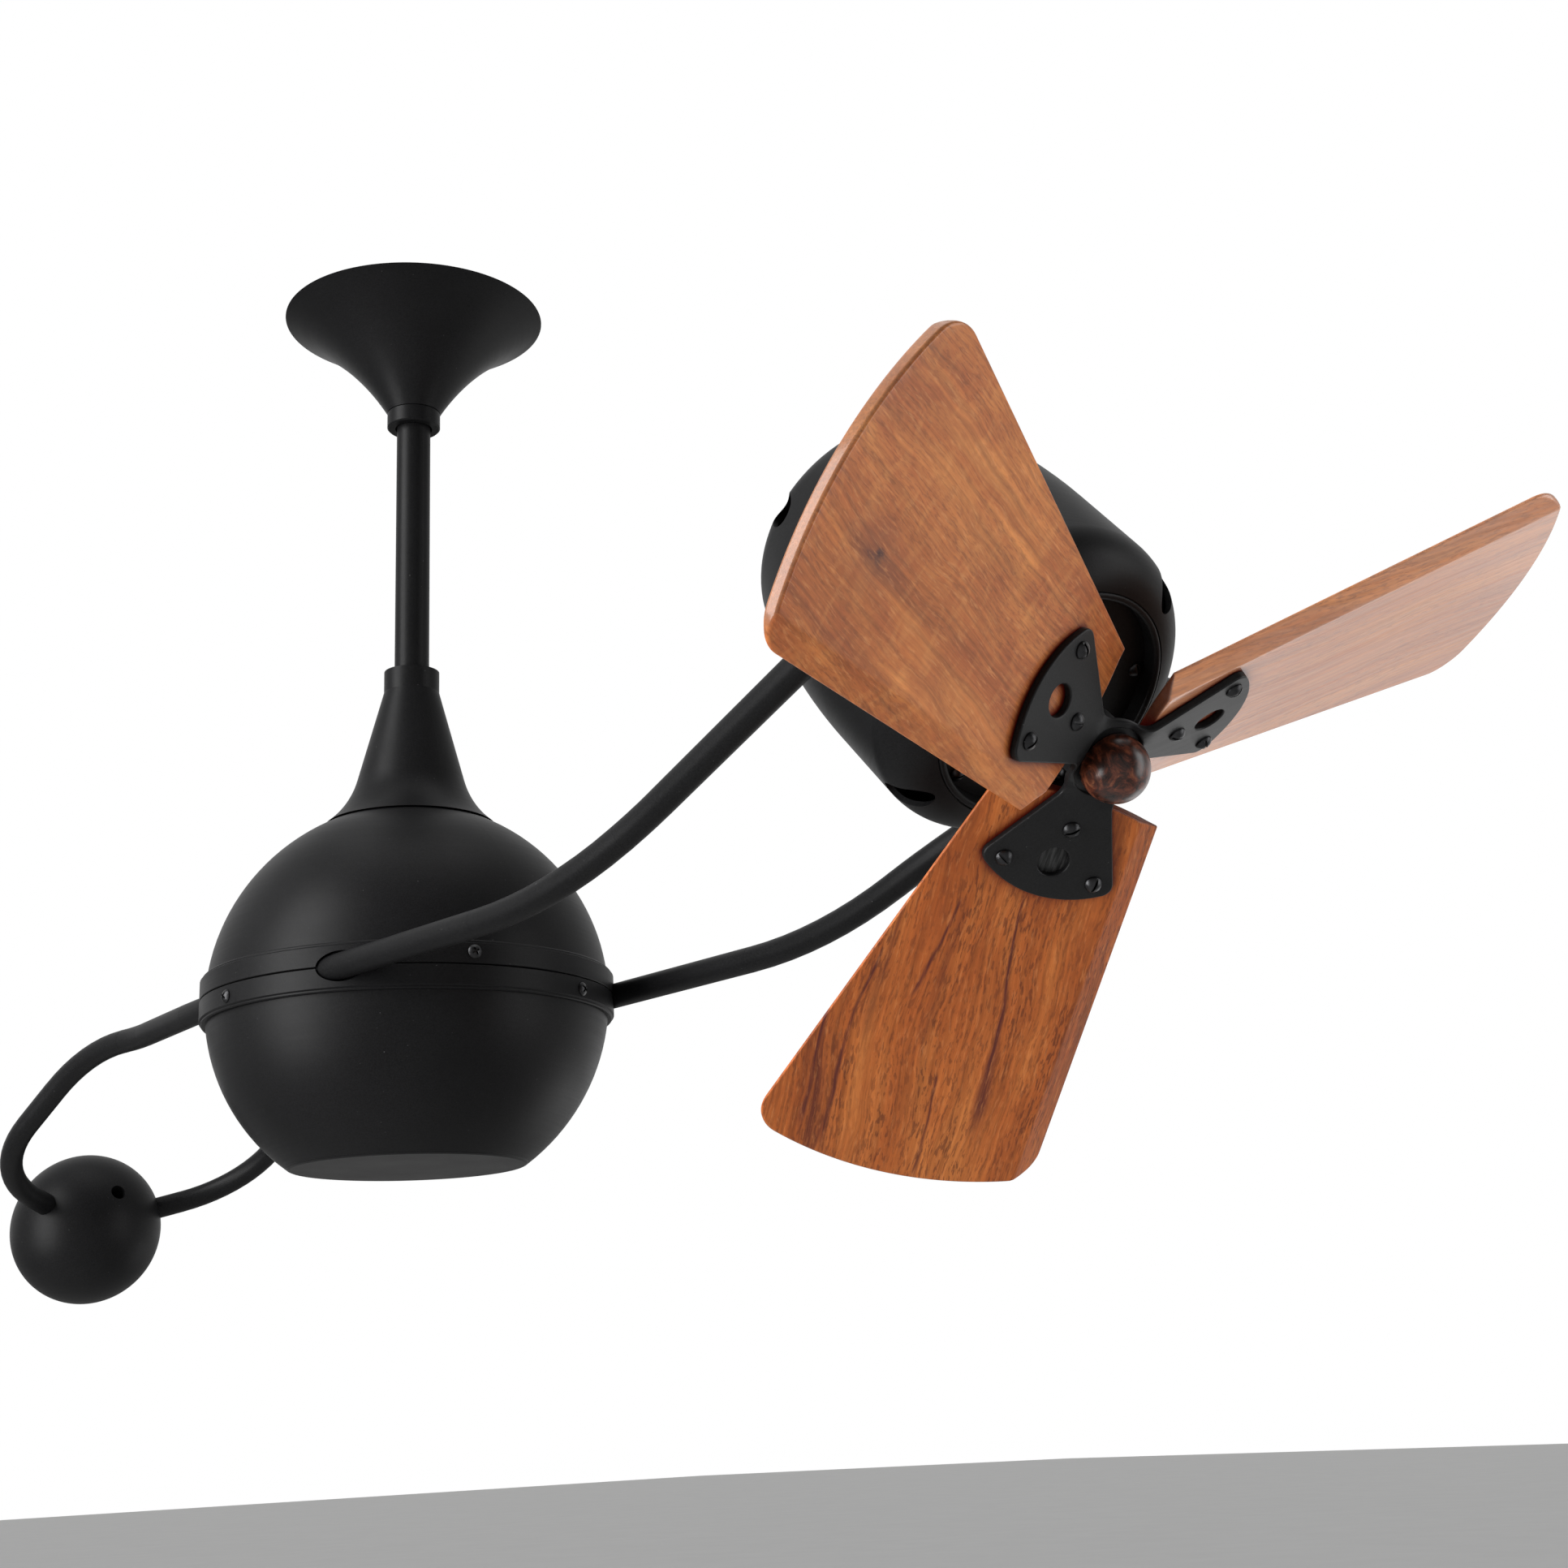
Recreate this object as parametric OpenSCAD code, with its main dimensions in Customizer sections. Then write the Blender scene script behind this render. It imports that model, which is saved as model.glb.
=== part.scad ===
// Ceiling fan: one tilting motor head on a turning arm of two bent tubes, balanced by a ball.
// Millimetres. Origin: centre of the ceiling face. +Z is up. The head's arm points along +X.

/* [Main sizes] */
// Height from the ceiling down to the globe's centre
drop = 370.4; // [340:0.1:700]
// Radius of the blade sweep
sweep_r = 196.7; // [160:0.1:240]
// Radius of the globe's skin
globe_r = 97.5; // [90:0.5:110]
// Radius of the motor housing
motor_r = 65.4; // [60:0.1:75]
// Angle of the motor shaft below the horizontal
tilt = 48.6; // [0:0.1:75]
// Turn of the first blade about the shaft
phase = 5.7; // [0:0.1:119]

/* [Canopy and rod] */
// Rim radius of the trumpet canopy at the ceiling
canopy_r = 68.3; // [60:0.1:80]
// Height of the canopy
canopy_h = 54; // [40:0.5:80]
// Radius of the canopy's hollow flare
flare_r = 150; // [120:1:200]
// Sheet thickness of the canopy
canopy_t = 1.6; // [1:0.1:3]
// Outside diameter of the rod
rod_d = 17.6; // [15:0.1:25]
// Bore of the rod
rod_bore = 13.6; // [10:0.1:20]
// Distance between the two ceiling holes
ceiling_pitch = 88.9; // [80:0.1:100]
// Diameter of the ceiling holes
ceiling_hole_d = 5.5; // [4:0.1:7]

/* [Neck] */
// Depth of the neck's top face below the ceiling
neck_top = 200; // [180:1:400]
// Radius of the neck's top collar
neck_r = 14; // [12:0.1:18]
// Height of that collar
neck_collar_h = 11; // [6:0.5:20]
// Radius of the neck where its flare starts
neck_mid_r = 26.8; // [20:0.1:35]
// Radius of the neck's lower flare
neck_flare_r = 44.4; // [30:0.1:60]
// Sheet thickness of the neck and the globe
shell_t = 1.8; // [1.2:0.1:3]

/* [Arms] */
// Outside diameter of an arm tube
tube_d = 12; // [10:0.1:16]
// Wall of an arm tube
tube_wall = 1.2; // [0.8:0.1:2.5]
// Distance of each tube from the middle plane inside the globe
tube_y = 78; // [70:0.5:85]
// Forward run of a tube before it rises
fore_run = 167; // [120:1:220]
// Angle by which a tube rises towards the head
fore_rise = 18.8; // [0:0.1:45]
// Radius of the eye at a tube's end
eye_r = 12.5; // [9:0.1:16]
// Thickness of that eye
eye_t = 12; // [10:0.5:14]
// Radius of the counterweight ball
ball_r = 42; // [30:0.5:60]

/* [Head] */
// Distance from the tilt axis to the front of the blade holder
hub_z = 63.1; // [50:0.1:90]
// Depth at which the housing's rear corner begins, behind the tilt axis
motor_back = 91.7; // [80:0.1:130]
// Wall of the housing
motor_t = 2.2; // [1.5:0.1:4]
// Radius of the recess in the housing's front
recess_r = 46; // [40:0.5:52]
// Width of a cooling slot
vent_w = 12; // [6:0.5:16]
// Radius of the motor shaft
shaft_r = 6; // [5:0.5:8]

/* [Blades] */
// Pitch of a blade
pitch = 21.7; // [10:0.1:30]
// Thickness of a blade
blade_t = 5.5; // [5:0.5:12]
// Width of the slope along a blade's long edges
edge_w = 9.3; // [4:0.1:15]
// Drop of that slope across its width, from the front face
edge_h = 4.4; // [2:0.1:5]
// Distance from the shaft to a blade's root
root_x = 17.7; // [15:0.1:30]
// Half width of a blade at its root
root_w = 34.9; // [25:0.1:45]
// Thickness of the blade holder's sheet
plate_t = 3; // [2:0.5:5]
// Radius of the knob on the hub
knob_r = 12.75; // [10:0.05:20]

/* [Fits] */
// Radial clearance of a running fit
fit = 0.05; // [0.01:0.01:0.1]
// Gap between pieces that move past each other
gap = 0.5; // [0.3:0.1:1]

/* [Hidden] */
$fn = 64;
rod_r = rod_d / 2;
tube_r = tube_d / 2;
hole_r = rod_r + 0.9;
flare_x = canopy_r + sqrt(flare_r * flare_r - 130 * 130) + 0.1;
neck_z1 = -neck_top - neck_collar_h;
neck_z2 = neck_z1 - 47;
neck_cx = neck_mid_r + neck_flare_r * cos(15);
neck_cz = neck_z2 + neck_flare_r * sin(15);
neck_end = -drop + 88.9;
gz = -drop;
band_r = globe_r + 2.5;
band_h = 11.25;
globe_top_r = 38;
globe_flat = 79.6;
seam = 0.25;
ring_in = 88.5;
ring_out = 95.2;
pivot = [404.2, 0, gz + 61.9];
eye_y = 85.5 - eye_t / 2;
ball_at = [-334, 0, gz - 78.2];
ball_dir = 24.3;
black = [0.035, 0.035, 0.038];
dark = [0.12, 0.12, 0.13];
steel = [0.62, 0.63, 0.65];
brass = [0.72, 0.55, 0.25];
copper = [0.72, 0.36, 0.18];
wood = [0.52, 0.25, 0.12];
burl = [0.25, 0.08, 0.04];
plastic = [0.18, 0.17, 0.16];

// assembly

// ---------------------------------------------------------------- shared shapes
// Ring between two radii and two heights
module ring(ro, ri, z0, z1) {
  translate([0, 0, z0])
    difference() {
      cylinder(r = ro, h = z1 - z0);
      translate([0, 0, -1]) cylinder(r = ri, h = z1 - z0 + 2);
    }
}

// Cylinder between two heights
module rod(r, z0, z1) {
  translate([0, 0, z0]) cylinder(r = r, h = z1 - z0);
}

// Points +Z outwards along the direction at angle a, at height z
module radial(a, z) {
  translate([0, 0, z]) rotate([0, 0, a]) rotate([0, 90, 0]) children();
}

// Domed screw: head sits on z = 0 and points up, shank goes down. drive: 0 hex, 1 slot, 2 cross
module screw(hr, hh, sr, sl, drive) {
  dome = (hr * hr + hh * hh * 0.36) / (1.2 * hh);
  difference() {
    union() {
      intersection() {
        cylinder(r = hr, h = hh);
        translate([0, 0, hh - dome]) sphere(r = dome);
      }
      translate([0, 0, -sl]) cylinder(r = sr, h = sl + 0.1);
    }
    if (drive == 0) translate([0, 0, hh * 0.35]) cylinder(r = hr * 0.5, h = hh, $fn = 6);
    if (drive == 1) translate([-hr, -hr * 0.12, hh * 0.45]) cube([2 * hr, hr * 0.24, hh]);
    if (drive == 2)
      for (a = [0, 90])
        rotate([0, 0, a]) translate([-hr * 0.55, -hr * 0.1, hh * 0.4]) cube([hr * 1.1, hr * 0.2, hh]);
  }
}

// Grub screw: from z = 0 (tip) to z = l, with a hexagon socket
module grub(r, l) {
  difference() {
    union() {
      cylinder(r1 = r * 0.7, r2 = r, h = r * 0.3);
      translate([0, 0, r * 0.3]) cylinder(r = r, h = l - r * 0.3);
    }
    translate([0, 0, l * 0.5]) cylinder(r = r * 0.5, h = l, $fn = 6);
  }
}

// Ball bearing rings: pr is the ball circle's radius, br the ball's
module race_inner(ri, w, pr, br) {
  difference() {
    ring(pr - br * 0.58, ri, 0, w);
    translate([0, 0, w / 2]) rotate_extrude() translate([pr, 0]) circle(r = br + fit, $fn = 32);
  }
}

module race_outer(ro, w, pr, br) {
  difference() {
    ring(ro, pr + br * 0.58, 0, w);
    translate([0, 0, w / 2]) rotate_extrude() translate([pr, 0]) circle(r = br + fit, $fn = 32);
  }
}

module race_balls(w, pr, br, n) {
  for (i = [0 : n - 1]) rotate([0, 0, i * 360 / n]) translate([pr, 0, w / 2]) sphere(r = br, $fn = 24);
}

// ---------------------------------------------------------------- ceiling side
pin_r = 2.5;
socket_r = 13;
plate_pin_z = -18;
spin_pin_z = -228;
flange_z = -241;

// Steel plate screwed to the ceiling box, with the welded socket that holds the rod
module ceiling_plate() {
  color(dark) difference() {
    union() {
      rod(55, -3, 0);
      rod(socket_r, -30, -2);
    }
    rod(rod_r + fit, -31, -3);
    rod(rod_bore / 2, -4, 1);
    for (s = [-1, 1]) translate([s * ceiling_pitch / 2, 0, -4]) cylinder(d = ceiling_hole_d, h = 5);
    translate([0, 20, plate_pin_z]) rotate([90, 0, 0]) cylinder(r = pin_r, h = 40);
    for (a = [45 : 90 : 315]) rotate([0, 0, a]) translate([36, 0, -4]) cylinder(r = 5, h = 5);
  }
}

// Spun trumpet that covers the ceiling box
module canopy() {
  color(black) rotate_extrude($fn = 128) intersection() {
    translate([0, -canopy_h]) square([canopy_r, canopy_h]);
    translate([flare_x, -130]) difference() {
      circle(r = flare_r + canopy_t, $fn = 256);
      circle(r = flare_r, $fn = 256);
    }
  }
}

// Ring that carries the canopy on the rod
module canopy_collar() {
  ro = 13.9;
  color(black) difference() {
    rotate_extrude() polygon([[hole_r, -63], [ro - 0.7, -63], [ro, -62.3], [ro, -54.6],
      [ro - 0.6, -54], [11.9, -54], [11.9, -50], [hole_r, -50]]);
    radial(150, -58.5) translate([0, 0, 5]) cylinder(r = 2.5, h = 12);
  }
}

module collar_screw() {
  color(dark) radial(150, -58.5) translate([0, 0, rod_r + 0.02]) grub(2.4, 4.9);
}

// Steel tube between the ceiling plate and the spindle
module downrod() {
  color(black) difference() {
    ring(rod_r, rod_bore / 2, flange_z + 0.2, -3.2);
    for (z = [plate_pin_z, spin_pin_z])
      translate([0, 20, z]) rotate([90, 0, 0]) cylinder(r = pin_r, h = 40);
  }
}

// Headed cross pin along Y, with a drilled end for its clip
module cross_pin(half, head_r) {
  difference() {
    union() {
      translate([0, half, 0]) rotate([90, 0, 0]) cylinder(r = pin_r - 0.02, h = 2 * half + 1.6);
      translate([0, half + 1.7, 0]) rotate([90, 0, 0]) cylinder(r = head_r, h = 1.7);
    }
    translate([0, -half - 0.2, -5]) cylinder(r = 0.6, h = 10, $fn = 24);
  }
}

module hanger_pin() {
  color(steel) translate([0, 0, plate_pin_z]) cross_pin(socket_r + 0.05, 4);
}

// Flared cover over the spindle's top: t is how far the surface lies inside the outer skin
module neck_body(t) {
  translate([0, 0, neck_z2]) cylinder(r1 = neck_mid_r - t / cos(15), r2 = neck_r - t / cos(15), h = neck_z1 - neck_z2);
  rotate_extrude($fn = 128) difference() {
    translate([0, neck_end - t]) square([42.2 - t / 2, neck_z2 - neck_end + t]);
    translate([neck_cx, neck_cz]) circle(r = neck_flare_r + t, $fn = 256);
  }
}

module neck() {
  color(black) difference() {
    union() {
      rod(neck_r, neck_z1 - 0.01, -neck_top);
      neck_body(0);
    }
    difference() {
      neck_body(shell_t);
      rod(neck_mid_r, neck_z1 - 3.5, neck_z1 + 1);
      ring(neck_mid_r, 12.6, flange_z, flange_z + 2.5);
    }
    rod(hole_r, neck_z1 - 4, -neck_top + 1);
    translate([0, 0, gz]) sphere(r = globe_r + gap, $fn = 128);
    radial(150, -neck_top - 5.5) translate([0, 0, 5]) cylinder(r = 2.5, h = 12);
  }
}

module neck_screw() {
  color(dark) radial(150, -neck_top - 5.5) translate([0, 0, rod_r + 0.02]) grub(2.4, 5.0);
}

// Hollow journal: the rod is pinned in its top, the turning parts hang on its nut
spin_r = 10;
up_z = -312;
low_z = -396;
thread_r = 9;
stub_r = 8;
stub_end = -438;

module spindle() {
  color(steel) difference() {
    union() {
      rod(12.5, flange_z - 1, -216);
      rod(19.5, flange_z - 5, flange_z);
      rod(spin_r, low_z, flange_z - 4);
      rod(thread_r, low_z - 13, low_z + 1);
      rod(stub_r, stub_end, low_z - 12);
    }
    rod(rod_r + fit, flange_z, -215);
    rod(rod_bore / 2, -300, flange_z + 1);
    rod(5, stub_end - 1, -299);
    translate([0, 20, spin_pin_z]) rotate([90, 0, 0]) cylinder(r = pin_r, h = 40);
    for (i = [0 : 2]) radial(180, -417 - 8 * i) translate([0, 0, 3]) cylinder(r = 1.2, h = 6, $fn = 24);
  }
}

module spindle_pin() {
  color(steel) translate([0, 0, spin_pin_z]) cross_pin(12.55, 3.4);
}

module upper_bearing_inner() {
  color(steel) translate([0, 0, up_z]) race_inner(spin_r, 12, 15.5, 3.1);
}

module lower_bearing_inner() {
  color(steel) translate([0, 0, low_z]) race_inner(spin_r, 12, 15.5, 3.1);
}

module spindle_washer() {
  color(steel) ring(13.8, thread_r + 0.05, low_z - 2.5, low_z);
}

module spindle_nut() {
  color(steel) difference() {
    intersection() {
      translate([0, 0, low_z - 12.5]) cylinder(r = 15.6, h = 10, $fn = 6);
      translate([0, 0, low_z - 7.5]) sphere(r = 16.0);
    }
    rod(thread_r + 0.02, low_z - 14, low_z);
  }
}

// Insulating drum with three copper rings that feed the turning side
module slip_drum() {
  color(plastic) difference() {
    union() {
      ring(14.5, stub_r + 0.02, -437, -410);
      for (i = [0 : 3]) ring(16.2, stub_r + 0.02, -414 - 8 * i + 1, -414 - 8 * i + 3);
    }
    rod(20, -411, -408);
  }
}

module slip_rings() {
  color(copper) for (i = [0 : 2]) ring(16, 14.52, -420 - 8 * i + 1.3, -414 - 8 * i + 0.7);
}

// ---------------------------------------------------------------- turning side
carrier_r = 25;
bar_top = gz;
bar_bot = gz - 12;

// Hub that hangs on the two bearings
module carrier() {
  color(dark) difference() {
    union() {
      rod(carrier_r, low_z - 2, up_z + 14);
      rod(40, bar_top, bar_top + 7);
    }
    rod(21, up_z, up_z + 15);
    rod(17.9, low_z, up_z + 1);
    rod(21, low_z - 3, low_z + 12);
    for (a = [45 : 90 : 315]) rotate([0, 0, a]) translate([32, 0, bar_top - 1]) cylinder(r = 2.2, h = 9);
  }
}

module upper_bearing_outer() {
  color(steel) translate([0, 0, up_z]) race_outer(21, 12, 15.5, 3.1);
}

module lower_bearing_outer() {
  color(steel) translate([0, 0, low_z]) race_outer(21, 12, 15.5, 3.1);
}

module bearing_balls() {
  color(steel) for (z = [up_z, low_z]) translate([0, 0, z]) race_balls(12, 15.5, 3.1, 10);
}

// Bar that carries both tubes in half round grooves
module crossbar() {
  color(dark) difference() {
    intersection() {
      union() {
        rod(42, bar_bot, bar_top);
        translate([-14, -90, bar_bot]) cube([28, 180, 12]);
      }
      rod(ring_in, bar_bot - 1, bar_top + 1);
    }
    rod(carrier_r + 0.05, bar_bot - 1, bar_top + 1);
    for (s = [-1, 1])
      translate([-20, s * tube_y, gz]) rotate([0, 90, 0]) cylinder(r = tube_r, h = 40);
    for (a = [45 : 90 : 315]) rotate([0, 0, a]) translate([32, 0, bar_bot - 1]) cylinder(r = 2.02, h = 14);
    for (s = [-1, 1], t = [-9, 9])
      translate([t, s * 64, bar_bot - 1]) cylinder(r = 2.02, h = 14);
    for (t = [-5, 5]) translate([t, 38, bar_bot - 1]) cylinder(r = 1.52, h = 8, $fn = 32);
    for (y = [-38, -71.5], t = [-10.5, 10.5])
      if (y > -60) translate([t, y, bar_bot - 1]) cylinder(r = 1.52, h = 8, $fn = 32);
  }
}

module arm_clamps() {
  color(dark) difference() {
    intersection() {
      for (s = [-1, 1]) translate([-14, s * 73 - 15, gz + 0.3]) cube([28, 30, 10.7]);
      rod(ring_in - 0.2, gz - 1, gz + 14);
    }
    for (s = [-1, 1]) {
      translate([-20, s * tube_y, gz]) rotate([0, 90, 0]) cylinder(r = tube_r, h = 40);
      for (t = [-9, 9]) translate([t, s * 64, gz - 1]) cylinder(r = 2.2, h = 14);
    }
  }
}

module clamp_screws() {
  color(steel) for (s = [-1, 1], t = [-9, 9])
    translate([t, s * 64, gz + 11]) screw(3.6, 3.2, 2, 21, 0);
}

module flange_screws() {
  color(steel) for (a = [45 : 90 : 315])
    rotate([0, 0, a]) translate([32, 0, gz + 7]) screw(3.6, 3.2, 2, 17, 0);
}

// Flat ring behind the globe's band: both halves are screwed to it
module support_ring() {
  color(dark) difference() {
    ring(ring_out, ring_in, gz - 9, gz + 9);
    for (s = [-1, 1])
      translate([-80, s * tube_y, gz]) rotate([0, 90, 0]) cylinder(r = tube_r + 1.1, h = 160);
    band_holes(1.9);
  }
}

upper_az = [-16.5, 103.5, 223.5];
lower_az = [20, 145, 270];
band_z = 5.6;

module band_holes(r) {
  for (a = upper_az) radial(a, gz + band_z) translate([0, 0, 80]) cylinder(r = r, h = 30);
  for (a = lower_az) radial(a, gz - band_z) translate([0, 0, 80]) cylinder(r = r, h = 30);
}

// Oval openings where the tubes leave the globe through its seam: the rear ones follow the tubes
module tube_exits() {
  for (m = [0, 1]) mirror([0, m, 0]) translate([0, tube_y, gz]) {
    translate([30, 0, 0]) rotate([0, 90, 0]) cylinder(r = tube_r + 1.1, h = 55);
    translate([-52, 0, 0]) rotate([0, 0, 4.2]) rotate([0, -90, 0]) translate([0, 0, -20])
      cylinder(r = tube_r + 1.1, h = 55);
  }
}

// Raised band on one half, with a narrow lip along its edge
module band() {
  rotate_extrude($fn = 128) polygon([[92, seam], [band_r - 0.3, seam], [band_r, seam + 0.3],
    [band_r, band_h - 1.8], [band_r - 0.9, band_h - 1.2], [band_r - 0.9, band_h - 0.5],
    [band_r - 1.4, band_h], [92, band_h]]);
}

module globe_upper() {
  color(black) difference() {
    translate([0, 0, gz]) difference() {
      union() {
        intersection() {
          sphere(r = globe_r, $fn = 128);
          rod(120, seam, 120);
        }
        band();
      }
      sphere(r = globe_r - shell_t, $fn = 128);
      rod(globe_top_r, 60, 120);
    }
    tube_exits();
    band_holes(2.0);
  }
}

module globe_lower() {
  color(black) difference() {
    translate([0, 0, gz]) mirror([0, 0, 1]) difference() {
      union() {
        intersection() {
          sphere(r = globe_r, $fn = 128);
          rotate_extrude($fn = 128) polygon([[0, seam], [120, seam], [120, globe_flat - 8],
            [57.6, globe_flat - 1.1], [56.9, globe_flat - 0.4], [55.9, globe_flat], [0, globe_flat]]);
        }
        band();
      }
      intersection() {
        sphere(r = globe_r - shell_t, $fn = 128);
        rod(120, -1, globe_flat - shell_t);
      }
    }
    tube_exits();
    band_holes(2.0);
  }
}

module band_screws() {
  color(dark) {
    for (a = upper_az) radial(a, gz + band_z) translate([0, 0, band_r]) rotate([0, 0, 30]) screw(3.2, 1.8, 1.85, 10, 2);
    for (a = lower_az) radial(a, gz - band_z) translate([0, 0, band_r]) rotate([0, 0, 55]) screw(3.2, 1.8, 1.85, 10, 2);
  }
}

// A run of tube: starts at the origin and heads along +Z
module tube_run(l) {
  ring(tube_r, tube_r - tube_wall, 0, l);
}

// A bend of tube: starts at the origin heading along +Z and curves towards +X
// Its ends reach a little way into the runs before and after it
module tube_bend(r, a) {
  lap = 0.5 / r * 180 / PI;
  rotate([90, 0, 0]) rotate([0, 180, 0]) translate([-r, 0, 0]) rotate([0, 0, -lap])
    rotate_extrude(angle = a + 2 * lap, $fn = 256) translate([r, 0]) difference() {
      circle(r = tube_r - 0.03, $fn = 48);
      circle(r = tube_r - tube_wall + 0.03, $fn = 48);
    }
}

// Follows a route of runs [length] and bends [radius, angle, roll], with the children at its end
module route(path, i = 0, draw = true) {
  if (i >= len(path)) children();
  else if (len(path[i]) == 1) {
    if (draw) tube_run(path[i][0]);
    translate([0, 0, path[i][0]]) route(path, i + 1, draw) children();
  }
  else rotate([0, 0, path[i][2]]) {
    if (draw) tube_bend(path[i][0], path[i][1]);
    translate([path[i][0], 0, 0]) rotate([0, path[i][1], 0]) translate([-path[i][0], 0, 0])
      rotate([0, 0, -path[i][2]]) route(path, i + 1, draw) children();
  }
}

up = 0;
outward_f = -90;
inward_r = -90;
outward_r = 90;
down = 180;
inward_f = 90;
fore_path = [[41], [600, 0.5, inward_f], [fore_run - 46], [295, fore_rise, up], [2],
  [310, 4.6, outward_f], [123]];
aft_path = [[40], [320, 7, inward_r], [59], [100, 12.8, outward_r], [2], [125, 30.5, down], [30],
  [70, 61.6, inward_r], [40]];

// One arm tube, from the ball through the globe to the eye on the tilt axis
module arm_tube() {
  difference() {
    union() {
      translate([0, tube_y, gz]) rotate([0, 90, 0]) rotate([0, 0, 180]) route(fore_path);
      translate([0, tube_y, gz]) rotate([0, -90, 0]) route(aft_path);
      translate([pivot[0], eye_y, pivot[2]]) rotate([-90, 0, 0]) {
        cylinder(r = eye_r, h = eye_t);
        translate([0, 0, -1.1]) cylinder(r = 7.5, h = 2);
      }
    }
    translate([pivot[0], 70, pivot[2]]) rotate([-90, 0, 0]) cylinder(r = 3 + fit, h = 40);
  }
}

module arm_left() {
  color(black) arm_tube();
}

module arm_right() {
  color(black) mirror([0, 1, 0]) arm_tube();
}

// Cast ball on the arm's tail, with two tube sockets and a screw hole
module counterweight() {
  color(black) difference() {
    translate(ball_at) sphere(r = ball_r, $fn = 128);
    for (m = [0, 1]) mirror([0, m, 0])
      translate([0, tube_y, gz]) rotate([0, -90, 0]) route(aft_path, 0, false)
        translate([0, 0, -60]) cylinder(r = tube_r + 0.02, h = 60.2);
    translate(ball_at) rotate([0, 90 - ball_dir, 0]) translate([0, 0, 12]) cylinder(r = 4.25, h = 40);
  }
}

module counterweight_screw() {
  color(dark) translate(ball_at) rotate([0, 90 - ball_dir, 0]) translate([0, 0, 12.2]) grub(4.2, 16);
}

// Holder for the three sprung brushes, screwed under the bar
module brush_holder() {
  color(plastic) difference() {
    union() {
      translate([-8, 21, -438]) cube([16, 11, 28]);
      translate([-8, 26.5, -411]) cube([16, 5.5, 411 + bar_bot]);
      translate([-8, 26.5, bar_bot - 3]) cube([16, 17.5, 3]);
    }
    for (i = [0 : 2]) translate([-2, 10, -419.1 - 8 * i]) cube([4, 20, 4.2]);
    for (t = [-5, 5]) translate([t, 38, bar_bot - 4]) cylinder(r = 1.7, h = 5, $fn = 32);
  }
}

module brushes() {
  color(dark) for (i = [0 : 2]) translate([-1.95, 16.35, -419 - 8 * i]) cube([3.9, 12, 4]);
}

module holder_screws() {
  color(steel) {
    for (t = [-5, 5]) translate([t, 38, bar_bot - 3]) mirror([0, 0, 1]) screw(2.8, 2, 1.5, 9, 1);
    for (t = [-10.5, 10.5]) translate([t, -38, bar_bot - 2]) mirror([0, 0, 1]) screw(2.8, 2, 1.5, 8, 1);
  }
}

// Motor capacitor lying under the bar, held by a strap
module run_capacitor() {
  color(plastic) translate([0, 0, bar_bot - 2.05 - 7]) {
    difference() {
      translate([-14, -74, -8]) cube([28, 30, 15]);
      translate([-20, -80, -16]) rotate([0, 0, 0]) cube([0.1, 0.1, 0.1]);
    }
    for (t = [-6, 6]) translate([t - 2.5, -44.1, -1]) cube([5, 9, 1]);
  }
}

module capacitor_strap() {
  z0 = bar_bot - 2.05 - 15.05;
  color(steel) difference() {
    union() {
      translate([-14, -41.9, bar_bot - 2]) cube([28, 8, 2]);
      translate([-3, -78, bar_bot - 2]) cube([6, 40, 2]);
      translate([-3, -75.6, z0 - 1.5]) cube([6, 1.5, bar_bot - z0 + 1.5]);
      translate([-3, -75.6, z0 - 1.5]) cube([6, 24, 1.5]);
    }
    for (t = [-10.5, 10.5]) translate([t, -38, bar_bot - 4]) cylinder(r = 1.7, h = 5, $fn = 32);
  }
}

// ---------------------------------------------------------------- tilting head
// Puts the head's own frame in place: +Z along the shaft towards the blades
module head_frame() {
  translate(pivot) rotate([0, 90 + tilt, 0]) children();
}

sh_r = 20.5;
sh_x = motor_r - sh_r;
sh_z = 6.8;
split_z = -30;
big_r = 246.4;
big_x = motor_r - big_r;
mid_z = -motor_back;
mid_x = big_x + sqrt(big_r * big_r - (mid_z - split_z) * (mid_z - split_z));
cap_r = 18.9;
cap_x = mid_x - cap_r * (mid_x - big_x) / big_r;
cap_z = mid_z - cap_r * (mid_z - split_z) / big_r;
back_z = cap_z - cap_r;
seam_screw_z = split_z + 3.5;
cover_z = 20.5;
face_r = 42.6;
face_a = 47;
stator_r = 61.1;
st_z0 = -56;
st_z1 = -16;

// Radial slot with round ends, between two heights
module slot_cut(z0, z1, w, r0, r1) {
  translate([r0, -w / 2, z0 + w / 2]) cube([r1 - r0, w, z1 - z0 - w]);
  for (z = [z0 + w / 2, z1 - w / 2]) translate([r0, 0, z]) rotate([0, 90, 0]) cylinder(r = w / 2, h = r1 - r0);
}

module front_skin(t) {
  translate([0, split_z - 1]) square([motor_r - t, sh_z - split_z + 1]);
  intersection() {
    translate([sh_x, sh_z]) circle(r = sh_r - t, $fn = 256);
    translate([sh_x, sh_z - 0.01]) square([60, 60]);
  }
  translate([0, sh_z - 0.01]) square([sh_x + 0.01, sh_r - t + 0.01]);
}

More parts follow.
